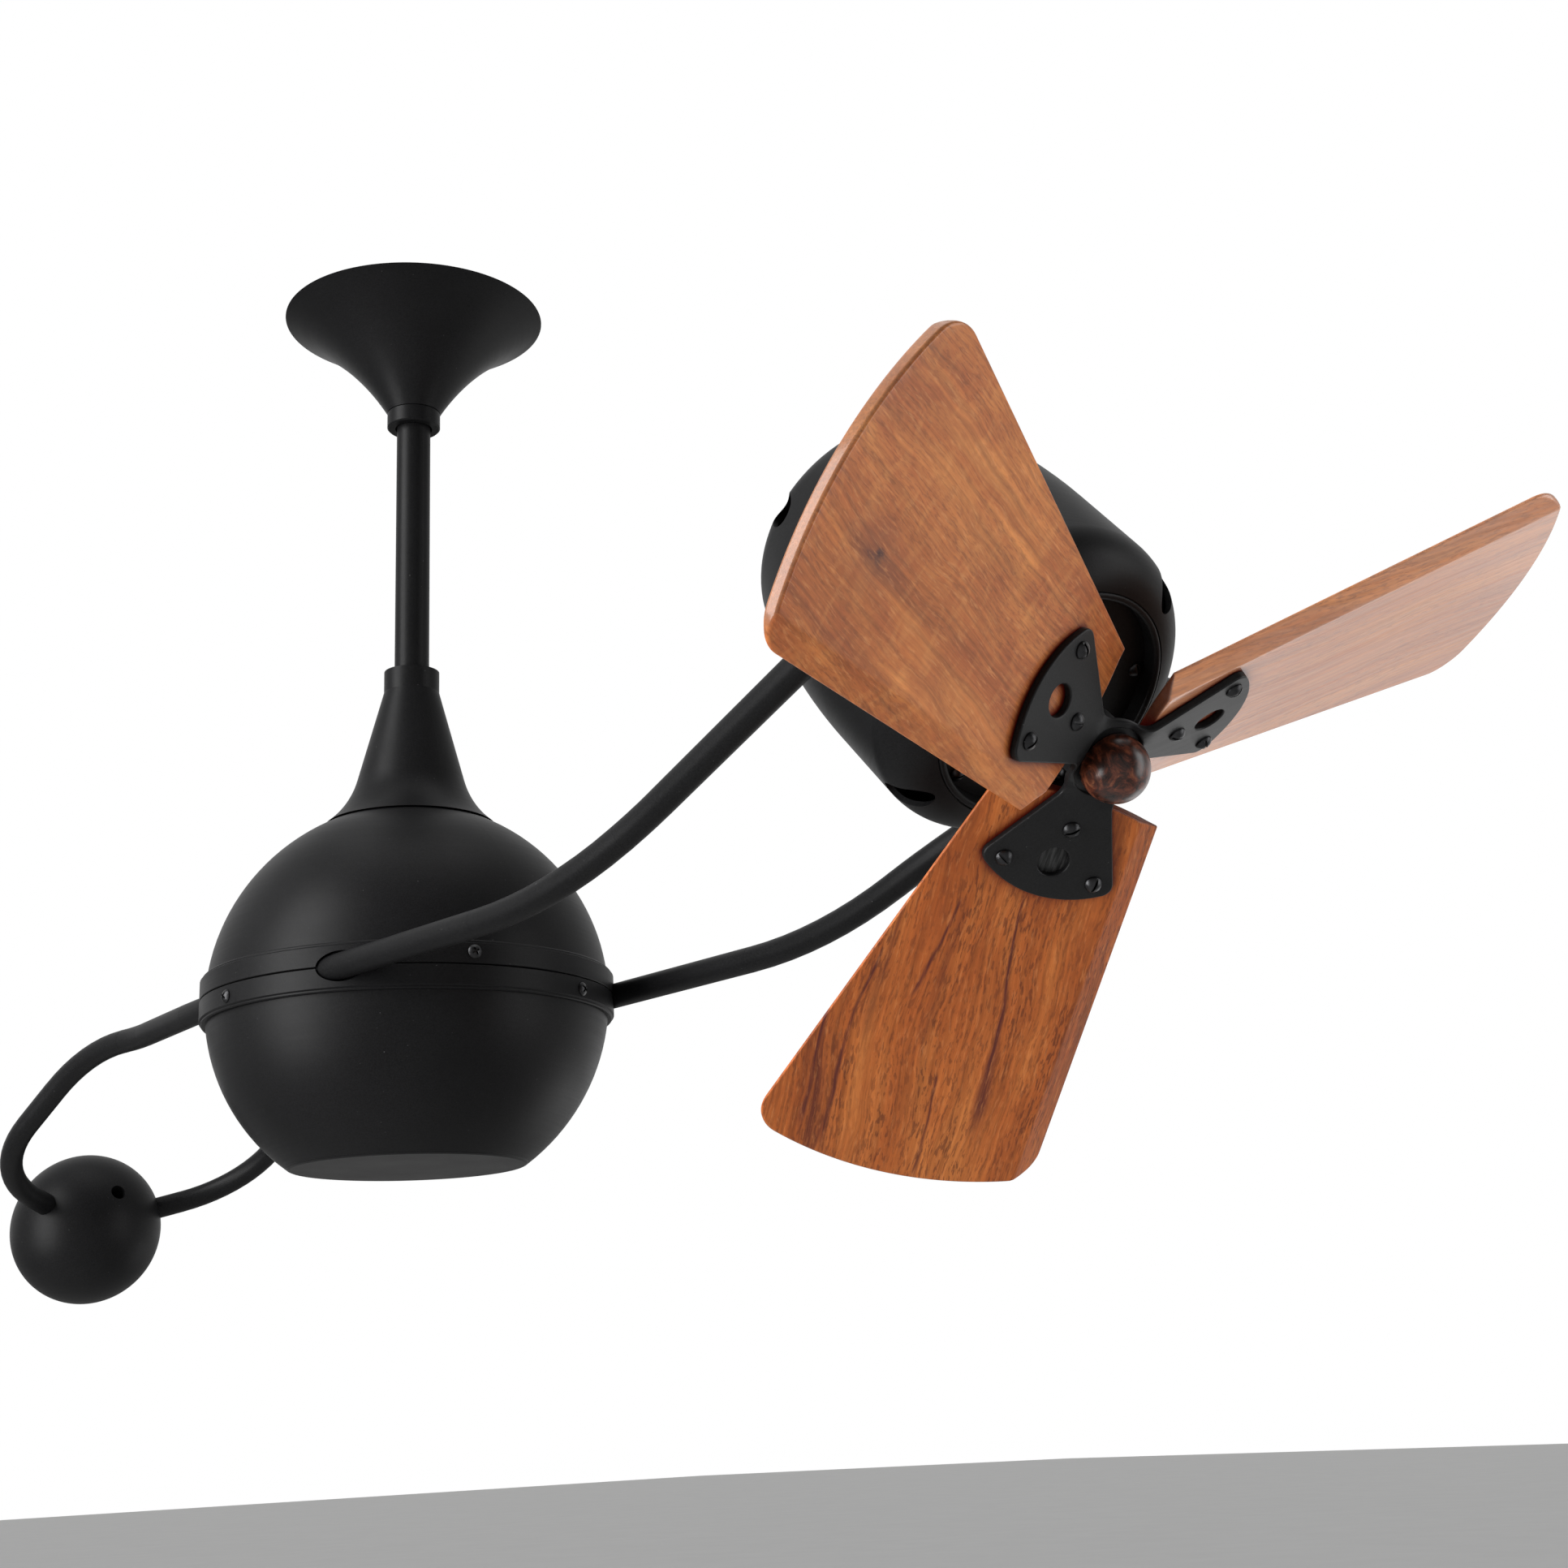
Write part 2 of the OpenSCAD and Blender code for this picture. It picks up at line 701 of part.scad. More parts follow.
module motor_front_shell() {
  color(black) head_frame() difference() {
    union() {
      rotate_extrude($fn = 128) difference() {
        union() {
          difference() {
            front_skin(0);
            front_skin(motor_t);
            translate([0, split_z - 2]) square([80, 2]);
          }
          intersection() {
            front_skin(0);
            union() {
              translate([recess_r, 12]) square([2.2, 15]);
              translate([39, 14.5]) square([8, 4]);
              translate([58, st_z1]) square([7, 3]);
            }
          }
        }
        translate([-1, cover_z - 2]) square([recess_r + 1, 20]);
        translate([-1, 26.2]) square([recess_r + 4.3, 10]);
      }
      rotate_extrude($fn = 128) translate([recess_r + 1.5, 26]) circle(r = 1.5, $fn = 32);
      for (s = [-1, 1]) translate([0, s * 62.2, 0]) rotate([90, 0, 0]) translate([0, 0, -6.1]) cylinder(r = 9, h = 12.2);
    }
    for (a = [30 : 60 : 330]) rotate([0, 0, a]) slot_cut(7, 25, vent_w, recess_r + 2.3, 75);
    for (s = [-1, 1]) translate([0, s * 62, 0]) rotate([90, 0, 0]) translate([0, 0, -10]) cylinder(r = 3.02, h = 20);
    for (a = [0 : 72 : 288]) rotate([0, 0, face_a + a]) translate([face_r, 0, 10]) cylinder(r = 1.52, h = 12, $fn = 32);
    for (a = [-110, 10, 130]) radial(a, seam_screw_z) translate([0, 0, 58]) {
      cylinder(r = 1.6, h = 12, $fn = 32);
      translate([0, 0, 5.8]) cylinder(r1 = 1.55, r2 = 3.25, h = 1.75);
    }
  }
}

module rear_skin(t) {
  intersection() {
    translate([big_x, split_z]) circle(r = big_r - t, $fn = 400);
    translate([0, mid_z]) square([80, split_z - mid_z]);
  }
  intersection() {
    translate([cap_x, cap_z]) circle(r = cap_r - t, $fn = 256);
    translate([cap_x - 0.01, cap_z - cap_r]) square([60, cap_r + mid_z - cap_z + 0.01]);
  }
  translate([0, cap_z - cap_r + t]) square([cap_x, cap_r - t + mid_z - cap_z + 0.01]);
}

module motor_rear_shell() {
  color(black) head_frame() difference() {
    union() {
      rotate_extrude($fn = 128) {
        difference() {
          rear_skin(0);
          rear_skin(motor_t);
        }
        intersection() {
          rear_skin(0);
          translate([58, st_z0 - 4]) square([9, 4]);
        }
        intersection() {
          rear_skin(0);
          translate([stator_r + 0.05, st_z0 - 0.01]) square([9, split_z - st_z0 + 0.01]);
        }
        translate([stator_r + 0.05, split_z - 0.5]) square([motor_r - motor_t - stator_r - 0.15, 7.5]);
      }
      ring(17, 14, back_z + 1.4, back_z + 17);
    }
    for (a = [30 : 60 : 330]) rotate([0, 0, a]) slot_cut(back_z + 2, back_z + 18, vent_w + 2, 44, 75);
    for (a = [-110, 10, 130]) radial(a, seam_screw_z) translate([0, 0, 58]) cylinder(r = 1.52, h = 12, $fn = 32);
  }
}

// Plate in the recess of the housing's front: it holds the front bearing
module front_cover() {
  color(dark) head_frame() difference() {
    union() {
      rod(recess_r - 0.15, cover_z - 2, cover_z);
      ring(17, 14, 9, cover_z - 1);
      rod(17, cover_z - 2.5, cover_z + 1.5);
    }
    rod(shaft_r + 1, 0, 30);
    rod(14, 8, 18);
    for (a = [0 : 72 : 288]) rotate([0, 0, face_a + a]) translate([face_r, 0, 10]) cylinder(r = 1.7, h = 12, $fn = 32);
  }
}

module cover_screws() {
  color(dark) head_frame() for (a = [0 : 72 : 288])
    rotate([0, 0, face_a + a]) translate([face_r, 0, cover_z]) rotate([0, 0, 30 + a]) screw(3.2, 2.2, 1.5, 6, 1);
}

module housing_screws() {
  color(dark) head_frame() for (a = [-110, 10, 130])
    radial(a, seam_screw_z) translate([0, 0, 61.3]) {
      difference() {
        union() {
          cylinder(r = 1.5, h = 3, $fn = 32);
          translate([0, 0, 2.5]) cylinder(r1 = 1.5, r2 = 3.1, h = 1.6);
        }
        for (b = [0, 90]) rotate([0, 0, b]) translate([-1.6, -0.3, 3.3]) cube([3.2, 0.6, 2]);
      }
    }
}

// Laminated stack with twelve slots
module stator_core() {
  color(steel) head_frame() difference() {
    ring(stator_r, 30.35, st_z0, st_z1);
    for (a = [0 : 30 : 330]) rotate([0, 0, a]) {
      translate([46, 0, st_z0 - 1]) cylinder(r = 4.2, h = st_z1 - st_z0 + 2);
      translate([34, -3, st_z0 - 1]) cube([12, 6, st_z1 - st_z0 + 2]);
      translate([29, -1, st_z0 - 1]) cube([6, 2, st_z1 - st_z0 + 2]);
    }
  }
}

module stator_windings() {
  color(copper) head_frame() {
    for (z = [st_z1 + 6.7, st_z0 - 6.7])
      translate([0, 0, z]) rotate_extrude($fn = 96) translate([46, 0]) circle(r = 6.5, $fn = 32);
    for (a = [0 : 30 : 330]) rotate([0, 0, a]) translate([46, 0, st_z0 - 5]) cylinder(r = 3.9, h = st_z1 - st_z0 + 10);
  }
}

head_bearing_z = [10, back_z + 8];

module head_bearing_outer() {
  color(steel) head_frame() for (z = head_bearing_z) translate([0, 0, z]) race_outer(14, 8, 10, 2.3);
}

module head_bearing_balls() {
  color(steel) head_frame() for (z = head_bearing_z) translate([0, 0, z]) race_balls(8, 10, 2.3, 8);
}

module head_bearing_inner() {
  color(steel) head_frame() for (z = head_bearing_z) translate([0, 0, z]) race_inner(shaft_r, 8, 10, 2.3);
}

// Bolts that the head tilts on: they turn with the head inside the eyes
module pivot_bolts() {
  color(dark) translate(pivot) for (m = [0, 1]) mirror([0, m, 0]) {
    translate([0, 57, 0]) rotate([-90, 0, 0]) cylinder(r = 3, h = 37);
    translate([0, eye_y + eye_t + 1.9, 0]) rotate([-90, 0, 0]) intersection() {
      cylinder(r = 5.8, h = 4, $fn = 6);
      translate([0, 0, -2.6]) sphere(r = 7.6);
    }
  }
}

module pivot_spacers() {
  color(dark) translate(pivot) for (m = [0, 1]) mirror([0, m, 0]) rotate([-90, 0, 0]) {
    ring(6.2, 3.02, 68.35, eye_y - 3);
    ring(8.5, 3.02, eye_y - 3, eye_y - 1.5);
    ring(8, 3.02, eye_y + eye_t + 0.4, eye_y + eye_t + 1.9);
  }
}

// ---------------------------------------------------------------- spinning parts
module motor_shaft() {
  color(steel) head_frame() union() {
    rod(shaft_r, back_z + 5, 57);
    rod(5, 56, hub_z + 4.6);
    rod(4, hub_z + 4, hub_z + 11);
  }
}

module rotor_core() {
  color(steel) head_frame() {
    ring(30, shaft_r, st_z0, st_z1);
    ring(28.5, 16, st_z0 - 4, st_z0 + 0.1);
    ring(28.5, 16, st_z1 - 0.1, st_z1 + 4);
    for (a = [0 : 45 : 315]) rotate([0, 0, a]) translate([18, -1, st_z1 + 3.9]) cube([9, 2, 5]);
  }
}

// Petal of the blade holder, seen flat: x runs out from the shaft
pet_c = [46.5, 22];
pet_r = 5;
pet_tip = 63;
pet_in = [16, 10];
pet_cx = (pow(pet_tip - pet_r, 2) - pow(pet_c[0], 2) - pow(pet_c[1], 2)) / (2 * (pet_tip - pet_r - pet_c[0]));
pet_d = norm(pet_c - pet_in);
pet_a = atan2(pet_c[1] - pet_in[1], pet_c[0] - pet_in[0]) + asin(pet_r / pet_d);
pet_t = pet_in + sqrt(pet_d * pet_d - pet_r * pet_r) * [cos(pet_a), sin(pet_a)];
pet_u = (pet_c - [pet_cx, 0]) / norm(pet_c - [pet_cx, 0]);
pet_b = pet_c + pet_r * pet_u;

module petal_flat() {
  polygon([pet_in, pet_t, pet_c, [pet_cx, 0], [pet_c[0], -pet_c[1]], [pet_t[0], -pet_t[1]],
    [pet_in[0], -pet_in[1]]]);
  for (s = [-1, 1]) translate([pet_c[0], s * pet_c[1]]) circle(r = pet_r);
  intersection() {
    translate([pet_cx, 0]) circle(r = pet_tip - pet_cx, $fn = 128);
    polygon([[pet_cx, 0], [pet_cx, 0] + 60 * pet_u, [pet_cx + 90, 0],
      [pet_cx + 60 * pet_u[0], -60 * pet_u[1]]]);
  }
}

blade_holes = [[48.3, 18.8], [48.3, -18.8], [29.8, 0]];

// Carries a blade's own frame: x out along the blade, z out of its front face
module blade_frame(k) {
  head_frame() translate([0, 0, hub_z]) rotate([0, 0, phase + 120 * k]) rotate([pitch, 0, 0]) children();
}

// Strip that twists from the flat hub to the pitched petal
twist_n = 8;
function twist_pt(i, y, z) =
  let (f = i / twist_n, s = f * f * (3 - 2 * f), a = pitch * s, w = 9.2 + 1.8 * f * f)
  [8 + (pet_in[0] + 1.6 - 8) * f, y * w * cos(a) - z * sin(a), y * w * sin(a) + z * cos(a)];

module twist_strip() {
  pts = [for (i = [0 : twist_n]) for (c = [[-1, -plate_t], [1, -plate_t], [1, 0], [-1, 0]])
    twist_pt(i, c[0], c[1])];
  sides = [for (i = [0 : twist_n - 1]) for (j = [0 : 3])
    [4 * i + j, 4 * i + (j + 1) % 4, 4 * i + 4 + (j + 1) % 4, 4 * i + 4 + j]];
  tris = [for (q = sides) each [[q[2], q[1], q[0]], [q[3], q[2], q[0]]]];
  e = 4 * twist_n;
  polyhedron(points = pts, faces = concat(tris, [[0, 1, 2], [0, 2, 3], [e + 2, e + 1, e], [e + 3, e + 2, e]]));
}

module spider() {
  color(black) difference() {
    union() {
      head_frame() rod(17, hub_z - plate_t, hub_z);
      head_frame() rod(13, 46, hub_z - plate_t + 1);
      for (k = [0 : 2]) {
        head_frame() translate([0, 0, hub_z]) rotate([0, 0, phase + 120 * k]) twist_strip();
        blade_frame(k) translate([0, 0, -plate_t]) linear_extrude(plate_t) petal_flat();
      }
    }
    head_frame() rod(shaft_r + 0.02, 40, 57);
    head_frame() rod(5.02, 50, 70);
    head_frame() rod(knob_r + 1.6, hub_z - 1.8, hub_z + 12);
    for (k = [0 : 2]) blade_frame(k) {
      for (h = blade_holes) translate([h[0], h[1], -5]) cylinder(r = 2.1, h = 9, $fn = 32);
      translate([44.35, 0, -5]) cylinder(r = 6, h = 9);
    }
  }
}

// Blade outline: straight sides, a round tip and rounded tip corners. One long edge slopes
// away at the front, the other at the back, where only a narrow land is left to see.
tip_r = 160.9;
tip_c = [sweep_r - tip_r, -3.3];
corner_r = 13.6;
aft_w = 57.3;
fore_w = 61.7;
land = 1.4;
edge_x = 174;
root_r = 155;
function unit(v) = v / norm(v);
// Corner circle's centre for the side line from p along u, with inward normal n.
// It stands 0.02 mm too far out, so that line and circle cross and don't only touch
function corner_c(p, u, n) =
  let (o = p + corner_r * n - tip_c, b = o * u, c = o * o - pow(tip_r - corner_r, 2))
  p + (corner_r - 0.02) * n + (sqrt(b * b - c) - b) * u;
side_a = [root_x + 4, -root_w];
side_b = [root_x + 4, root_w];
dir_a = unit([edge_x, -aft_w] - side_a);
dir_b = unit([edge_x, fore_w] - side_b);
cor_a = corner_c(side_a, dir_a, [-dir_a[1], dir_a[0]]);
cor_b = corner_c(side_b, dir_b, [dir_b[1], -dir_b[0]]);
tan_a = cor_a - (corner_r - 0.02) * [-dir_a[1], dir_a[0]];
tan_b = cor_b - (corner_r - 0.02) * [dir_b[1], -dir_b[0]];

module blade_flat() {
  intersection() {
    union() {
      polygon([side_a - 12 * dir_a, tan_a, cor_a, cor_b, tan_b, side_b - 12 * dir_b]);
      translate(cor_a) circle(r = corner_r);
      translate(cor_b) circle(r = corner_r);
      intersection() {
        translate(tip_c) circle(r = tip_r, $fn = 256);
        polygon([tip_c, tip_c + 200 * unit(cor_a - tip_c), tip_c + [300, 0], tip_c + 200 * unit(cor_b - tip_c)]);
      }
    }
    translate([root_x + root_r, 0]) circle(r = root_r, $fn = 256);
  }
}

module blade(k) {
  color(wood) blade_frame(k) difference() {
    translate([0, 0, -plate_t - blade_t]) linear_extrude(blade_t) blade_flat();
    translate([side_b[0], side_b[1], -plate_t - edge_h]) rotate([0, 0, atan2(dir_b[1], dir_b[0])])
      rotate([-atan2(edge_h, edge_w), 0, 0]) translate([-30, -30, 0]) cube([260, 60, 20]);
    translate([side_a[0], side_a[1], -plate_t - land]) rotate([0, 0, atan2(dir_a[1], dir_a[0])])
      rotate([-atan2(blade_t - land, edge_w), 0, 0]) translate([-30, -30, -20]) cube([260, 60, 20]);
    for (h = blade_holes) translate([h[0], h[1], -plate_t - 4.6]) cylinder(r = 1.98, h = 6, $fn = 32);
  }
}

module blade_1() {
  blade(0);
}

module blade_2() {
  blade(1);
}

module blade_3() {
  blade(2);
}

module blade_screws() {
  color(dark) for (k = [0 : 2]) blade_frame(k) for (i = [0 : 2])
    translate([blade_holes[i][0], blade_holes[i][1], 0]) rotate([0, 0, 65 * i + 40 * k]) screw(3.3, 2.3, 1.95, 7.4, 1);
}

module hub_nut() {
  color(steel) head_frame() difference() {
    translate([0, 0, hub_z - 1.8]) cylinder(r = 9.6, h = 6, $fn = 6);
    rod(5.02, 50, 80);
  }
}

// Polished knob that screws on the shaft's end and hides the nut
module spinner() {
  color(burl) head_frame() difference() {
    intersection() {
      translate([0, 0, hub_z + 3.9]) sphere(r = knob_r, $fn = 96);
      rod(20, hub_z - 1.2, hub_z + 30);
    }
    rod(10.2, hub_z - 3, hub_z + 4.8);
    rod(4.02, 50, hub_z + 11.2);
  }
}

// ---------------------------------------------------------------- pieces
ceiling_plate();
canopy();
canopy_collar();
collar_screw();
downrod();
hanger_pin();
neck();
neck_screw();
spindle();
spindle_pin();
upper_bearing_inner();
lower_bearing_inner();
spindle_washer();
spindle_nut();
slip_drum();
slip_rings();
carrier();
upper_bearing_outer();
lower_bearing_outer();
bearing_balls();
crossbar();
arm_clamps();
clamp_screws();
flange_screws();
support_ring();
globe_upper();
globe_lower();
band_screws();
arm_left();
arm_right();
counterweight();
counterweight_screw();
brush_holder();
brushes();
holder_screws();
run_capacitor();
capacitor_strap();
motor_front_shell();
motor_rear_shell();
front_cover();
cover_screws();
housing_screws();
stator_core();
stator_windings();
head_bearing_outer();
head_bearing_balls();
pivot_bolts();
pivot_spacers();
motor_shaft();
rotor_core();
head_bearing_inner();
spider();
blade_1();
blade_2();
blade_3();
blade_screws();
hub_nut();
spinner();
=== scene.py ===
"""Looks of the ceiling fan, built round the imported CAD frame. Metres; shapes are in millimetres."""

import math

import bmesh
import bpy
from mathutils import Matrix, Vector, geometry


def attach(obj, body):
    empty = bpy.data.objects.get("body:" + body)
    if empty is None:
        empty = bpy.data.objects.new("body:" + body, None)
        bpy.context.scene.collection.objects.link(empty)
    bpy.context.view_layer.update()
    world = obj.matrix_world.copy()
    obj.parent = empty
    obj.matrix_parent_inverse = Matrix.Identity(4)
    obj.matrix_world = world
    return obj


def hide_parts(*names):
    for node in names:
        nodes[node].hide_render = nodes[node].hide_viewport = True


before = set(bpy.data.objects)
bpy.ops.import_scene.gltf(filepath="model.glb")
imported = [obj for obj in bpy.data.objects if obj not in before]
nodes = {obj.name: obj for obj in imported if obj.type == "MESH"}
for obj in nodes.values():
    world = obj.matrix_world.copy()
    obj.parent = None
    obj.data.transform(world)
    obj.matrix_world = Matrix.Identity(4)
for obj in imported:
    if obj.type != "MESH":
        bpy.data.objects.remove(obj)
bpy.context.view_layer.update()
scene = bpy.context.scene

# ---------------------------------------------------------------- driving sizes, as in the CAD source
MM = 0.001
PIVOT = (404.2, 0.0, -308.5)  # middle of the tilt axis
GLOBE_Z = -370.4  # middle of the globe
BAND_R = 100.0  # outside of the globe's band
TILT = 48.6  # the motor's axis points this far down at rest
PHASE = 5.7  # turn of the first blade
PITCH = 21.7  # twist of the blades
HUB_Z = 63.1  # front of the blade holder, along the motor's axis
COVER_Z = 20.5  # face of the front cover, along the motor's axis
BLADE_T = 5.5
EDGE_W, EDGE_H = 9.3, 4.4  # slope along a blade's long edges: width and drop
LAND = 1.4  # what the back slope leaves of the board's thickness
PLATE_T = 3.0  # sheet of the blade holder
KNOB_R = 12.75
KNOB_Z = 3.9  # centre of the knob, in front of the holder
HOLE_X = 44.35  # centre of a petal's round hole


def turn(axis, degrees):
    return Matrix.Rotation(math.radians(degrees), 4, axis)


def shift(x, y, z):
    return Matrix.Translation(Vector((x, y, z)) * MM)


HEAD = shift(*PIVOT) @ turn("Y", 90 + TILT)


def blade_frame(k):
    """x runs out along blade k, z out of its front face"""
    return HEAD @ shift(0, 0, HUB_Z) @ turn("Z", PHASE + 120 * k) @ turn("X", PITCH)


# ---------------------------------------------------------------- camera
LENS_PX = 2808.6  # focal length in pixels of the photograph's 1932 wide frame
FRAME_PX = 1932.0
SENSOR_MM = 36
CENTRE_Y_PX = 816.0  # row of the optical axis
AWAY, BELOW = 1.1267, 0.5760  # from the middle of the canopy's rim to the camera
YAW, LOOK_UP, ROLL = 9.783, 18.547, -2.700
ARM_TURN = 33.5  # the arms point this far towards the camera


def to_part(v):
    """A direction with x to the right and y away from the camera, in the part's frame"""
    s, c = math.sin(math.radians(ARM_TURN)), math.cos(math.radians(ARM_TURN))
    return Vector((v[0] * s - v[1] * c, v[0] * c + v[1] * s, v[2]))


yaw, look, roll = (math.radians(a) for a in (YAW, LOOK_UP, ROLL))
ahead = Vector((math.sin(yaw) * math.cos(look), math.cos(yaw) * math.cos(look), math.sin(look)))
level = Vector((math.cos(yaw), -math.sin(yaw), 0))
upward = level.cross(ahead)
right = level * math.cos(roll) + upward * math.sin(roll)
upward = upward * math.cos(roll) - level * math.sin(roll)
eye = to_part((0, -AWAY, -BELOW))
right, upward, ahead = to_part(right), to_part(upward), to_part(ahead)

camera = bpy.data.objects.new("camera", bpy.data.cameras.new("camera"))
scene.collection.objects.link(camera)
scene.camera = camera
camera.data.sensor_width = SENSOR_MM
camera.data.lens = LENS_PX / FRAME_PX * SENSOR_MM
camera.data.shift_y = (CENTRE_Y_PX - FRAME_PX / 2) / FRAME_PX
camera.data.clip_start, camera.data.clip_end = 0.05, 100
pose = Matrix((right, upward, -ahead)).transposed().to_4x4()
camera.matrix_world = Matrix.Translation(eye) @ pose


# ---------------------------------------------------------------- material helpers
def new_node(tree, kind, ins=(), **props):
    """A node of a tree. props are its settings, ins its inputs: values, or sockets to wire to them"""
    node = tree.nodes.new(kind)
    for key, value in props.items():
        setattr(node, key, value)
    for key, value in dict(ins).items():
        if isinstance(value, bpy.types.NodeSocket):
            tree.links.new(value, node.inputs[key])
        else:
            node.inputs[key].default_value = value
    return node


class Paint:
    """A new Principled material and short calls for its nodes"""

    def __init__(self, name, **fixed):
        self.material = bpy.data.materials.new(name)
        self.material.use_nodes = True
        self.tree = self.material.node_tree
        self.bsdf = self.tree.nodes["Principled BSDF"]
        for key, value in fixed.items():
            self.bsdf.inputs[key.replace("_", " ")].default_value = value
        self.here = self.add("ShaderNodeTexCoord").outputs["Object"]

    def add(self, kind, ins=(), **props):
        return new_node(self.tree, kind, ins, **props)

    def place(self, scale=(1, 1, 1), move=(0, 0, 0), rot=(0, 0, 0), at=None):
        ins = {"Vector": at or self.here, "Location": move, "Rotation": rot, "Scale": scale}
        return self.add("ShaderNodeMapping", ins).outputs[0]

    def noise(self, at, scale, detail=2.0, rough=0.5, twist=0.0):
        ins = {"Vector": at, "Scale": scale, "Detail": detail, "Roughness": rough, "Distortion": twist}
        return self.add("ShaderNodeTexNoise", ins).outputs["Fac"]

    def ramp(self, fac, *stops):
        node = self.add("ShaderNodeValToRGB", {"Fac": fac})
        bar = node.color_ramp.elements
        while len(bar) < len(stops):
            bar.new(0.5)
        for item, (at, colour) in zip(bar, stops):
            item.position = at
            item.color = (*colour, 1) if hasattr(colour, "__len__") else (colour, colour, colour, 1)
        return node.outputs["Color"]

    def mix(self, fac, a, b, blend="MIX"):
        node = self.add("ShaderNodeMix", {0: fac}, data_type="RGBA", blend_type=blend)
        for slot, value in ((6, a), (7, b)):
            if isinstance(value, bpy.types.NodeSocket):
                self.tree.links.new(value, node.inputs[slot])
            else:
                node.inputs[slot].default_value = (*value, 1)
        return node.outputs[2]

    def calc(self, how, a, b=0.0, c=0.0):
        return self.add("ShaderNodeMath", {0: a, 1: b, 2: c}, operation=how).outputs[0]

    def times(self, a, b):
        return self.calc("MULTIPLY", a, b)

    def line(self, a, slope, start):
        return self.calc("MULTIPLY_ADD", a, slope, start)

    def vector(self, how, a, b=(0, 0, 0), out="Vector"):
        return self.add("ShaderNodeVectorMath", {0: a, 1: b}, operation=how).outputs[out]

    def bump(self, height, strength, distance, normal=None):
        ins = {"Height": height, "Strength": strength, "Distance": distance}
        if normal is not None:
            ins["Normal"] = normal
        return self.add("ShaderNodeBump", ins).outputs["Normal"]

    def done(self, colour, rough, normal=None):
        for key, socket in (("Base Color", colour), ("Roughness", rough), ("Normal", normal)):
            if socket is not None:
                self.tree.links.new(socket, self.bsdf.inputs[key])
        return self.material


def coat(name, dark, light, rough, grain=0.10, spun=0.35, shine=0.06):
    """Powder coated metal: fine grain, faint rings left by spinning, a few pale specks of dust"""
    p = Paint(name, Specular_IOR_Level=shine)
    colour = p.ramp(p.noise(p.here, 14, 4, 0.6), (0.3, dark), (0.75, light))
    salt = p.ramp(p.noise(p.here, 1500, 2, 0.7), (0.36, 0.72), (0.64, 1.35))
    colour = p.mix(1.0, colour, salt, "MULTIPLY")
    speck = p.ramp(p.noise(p.here, 900, 1, 0.4), (0.80, 0.0), (0.84, 1.0))
    colour = p.mix(p.times(speck, 0.35), colour, DUST)
    rings = p.noise(p.place((18, 18, 1100)), 1.0, 4, 0.6)
    fine = p.noise(p.here, 2600, 2, 0.6)
    smear = p.noise(p.here, 22, 3, 0.55)
    spread = p.line(rings, 0.10, rough - 0.10)
    spread = p.line(smear, 0.10, spread)
    normal = p.bump(rings, spun * 0.1, 0.0002)
    normal = p.bump(fine, grain, 0.00012, normal)
    return p.done(colour, spread, normal)


def steel(name, colour, rough):
    """Turned or ground metal: fine scratches and a little staining"""
    p = Paint(name, Metallic=1.0)
    lines = p.noise(p.place((40, 40, 900)), 1.0, 5, 0.65)
    stained = tuple(c * 0.72 for c in colour)
    tone = p.mix(p.ramp(p.noise(p.here, 60, 4, 0.6), (0.35, 0.0), (0.8, 1.0)), colour, stained)
    spread = p.line(lines, SCRATCH, rough - SCRATCH / 2)
    return p.done(tone, spread, p.bump(lines, 0.15, 0.00008))


def moulded(name, colour, rough=0.5):
    """Moulded plastic or pressed carbon: fine spark-eroded grain"""
    p = Paint(name)
    cloud = p.noise(p.here, 45, 3, 0.5)
    tone = p.mix(p.ramp(cloud, (0.3, 0.0), (0.8, 1.0)), colour, tuple(c * 1.5 for c in colour))
    grain = p.noise(p.here, 1800, 3, 0.6)
    return p.done(tone, p.line(cloud, 0.14, rough - 0.07), p.bump(grain, 0.25, 0.0001))


def winding(name):
    """Lacquered copper wire wound side by side"""
    p = Paint(name, Metallic=1.0)
    ins = {"Vector": p.here, "Scale": 340.0, "Distortion": 3.0, "Detail": 2.0, "Detail Scale": 1.5}
    wave = p.add("ShaderNodeTexWave", ins, wave_type="RINGS").outputs["Fac"]
    tone = p.ramp(wave, (0.0, (0.18, 0.05, 0.015)), (0.6, (0.72, 0.30, 0.13)), (1.0, (0.85, 0.42, 0.2)))
    spread = p.line(p.noise(p.here, 300, 3), 0.2, 0.25)
    return p.done(tone, spread, p.bump(wave, 0.6, 0.0004))


def draw_streaks(p, tone, at, ragged, streaks):
    """Long dark streaks that widen from a thin start. Each is (x, y, slope, end, width) in metres"""
    axes = p.add("ShaderNodeSeparateXYZ", {0: at})
    x, y = axes.outputs[0], axes.outputs[1]
    for x0, y0, slope, end, width in streaks:
        past = p.calc("SUBTRACT", x, x0)
        run = p.calc("DIVIDE", past, end - x0)
        centre = p.line(past, slope, y0)
        thick = p.line(p.calc("POWER", p.calc("MAXIMUM", run, 0.0), 2.5), width, STREAK_THIN)
        away = p.calc("DIVIDE", p.calc("ABSOLUTE", p.calc("SUBTRACT", y, centre)), thick)
        ends = p.ramp(run, (0.0, 0.0), (0.06, 0.95), (0.85, 0.95), (1.0, 0.0))
        core = p.times(p.ramp(away, (0.25, 1.0), (1.0, 0.0)), ends)
        tone = p.mix(p.times(core, ragged), tone, WOOD_STREAK)
    return tone


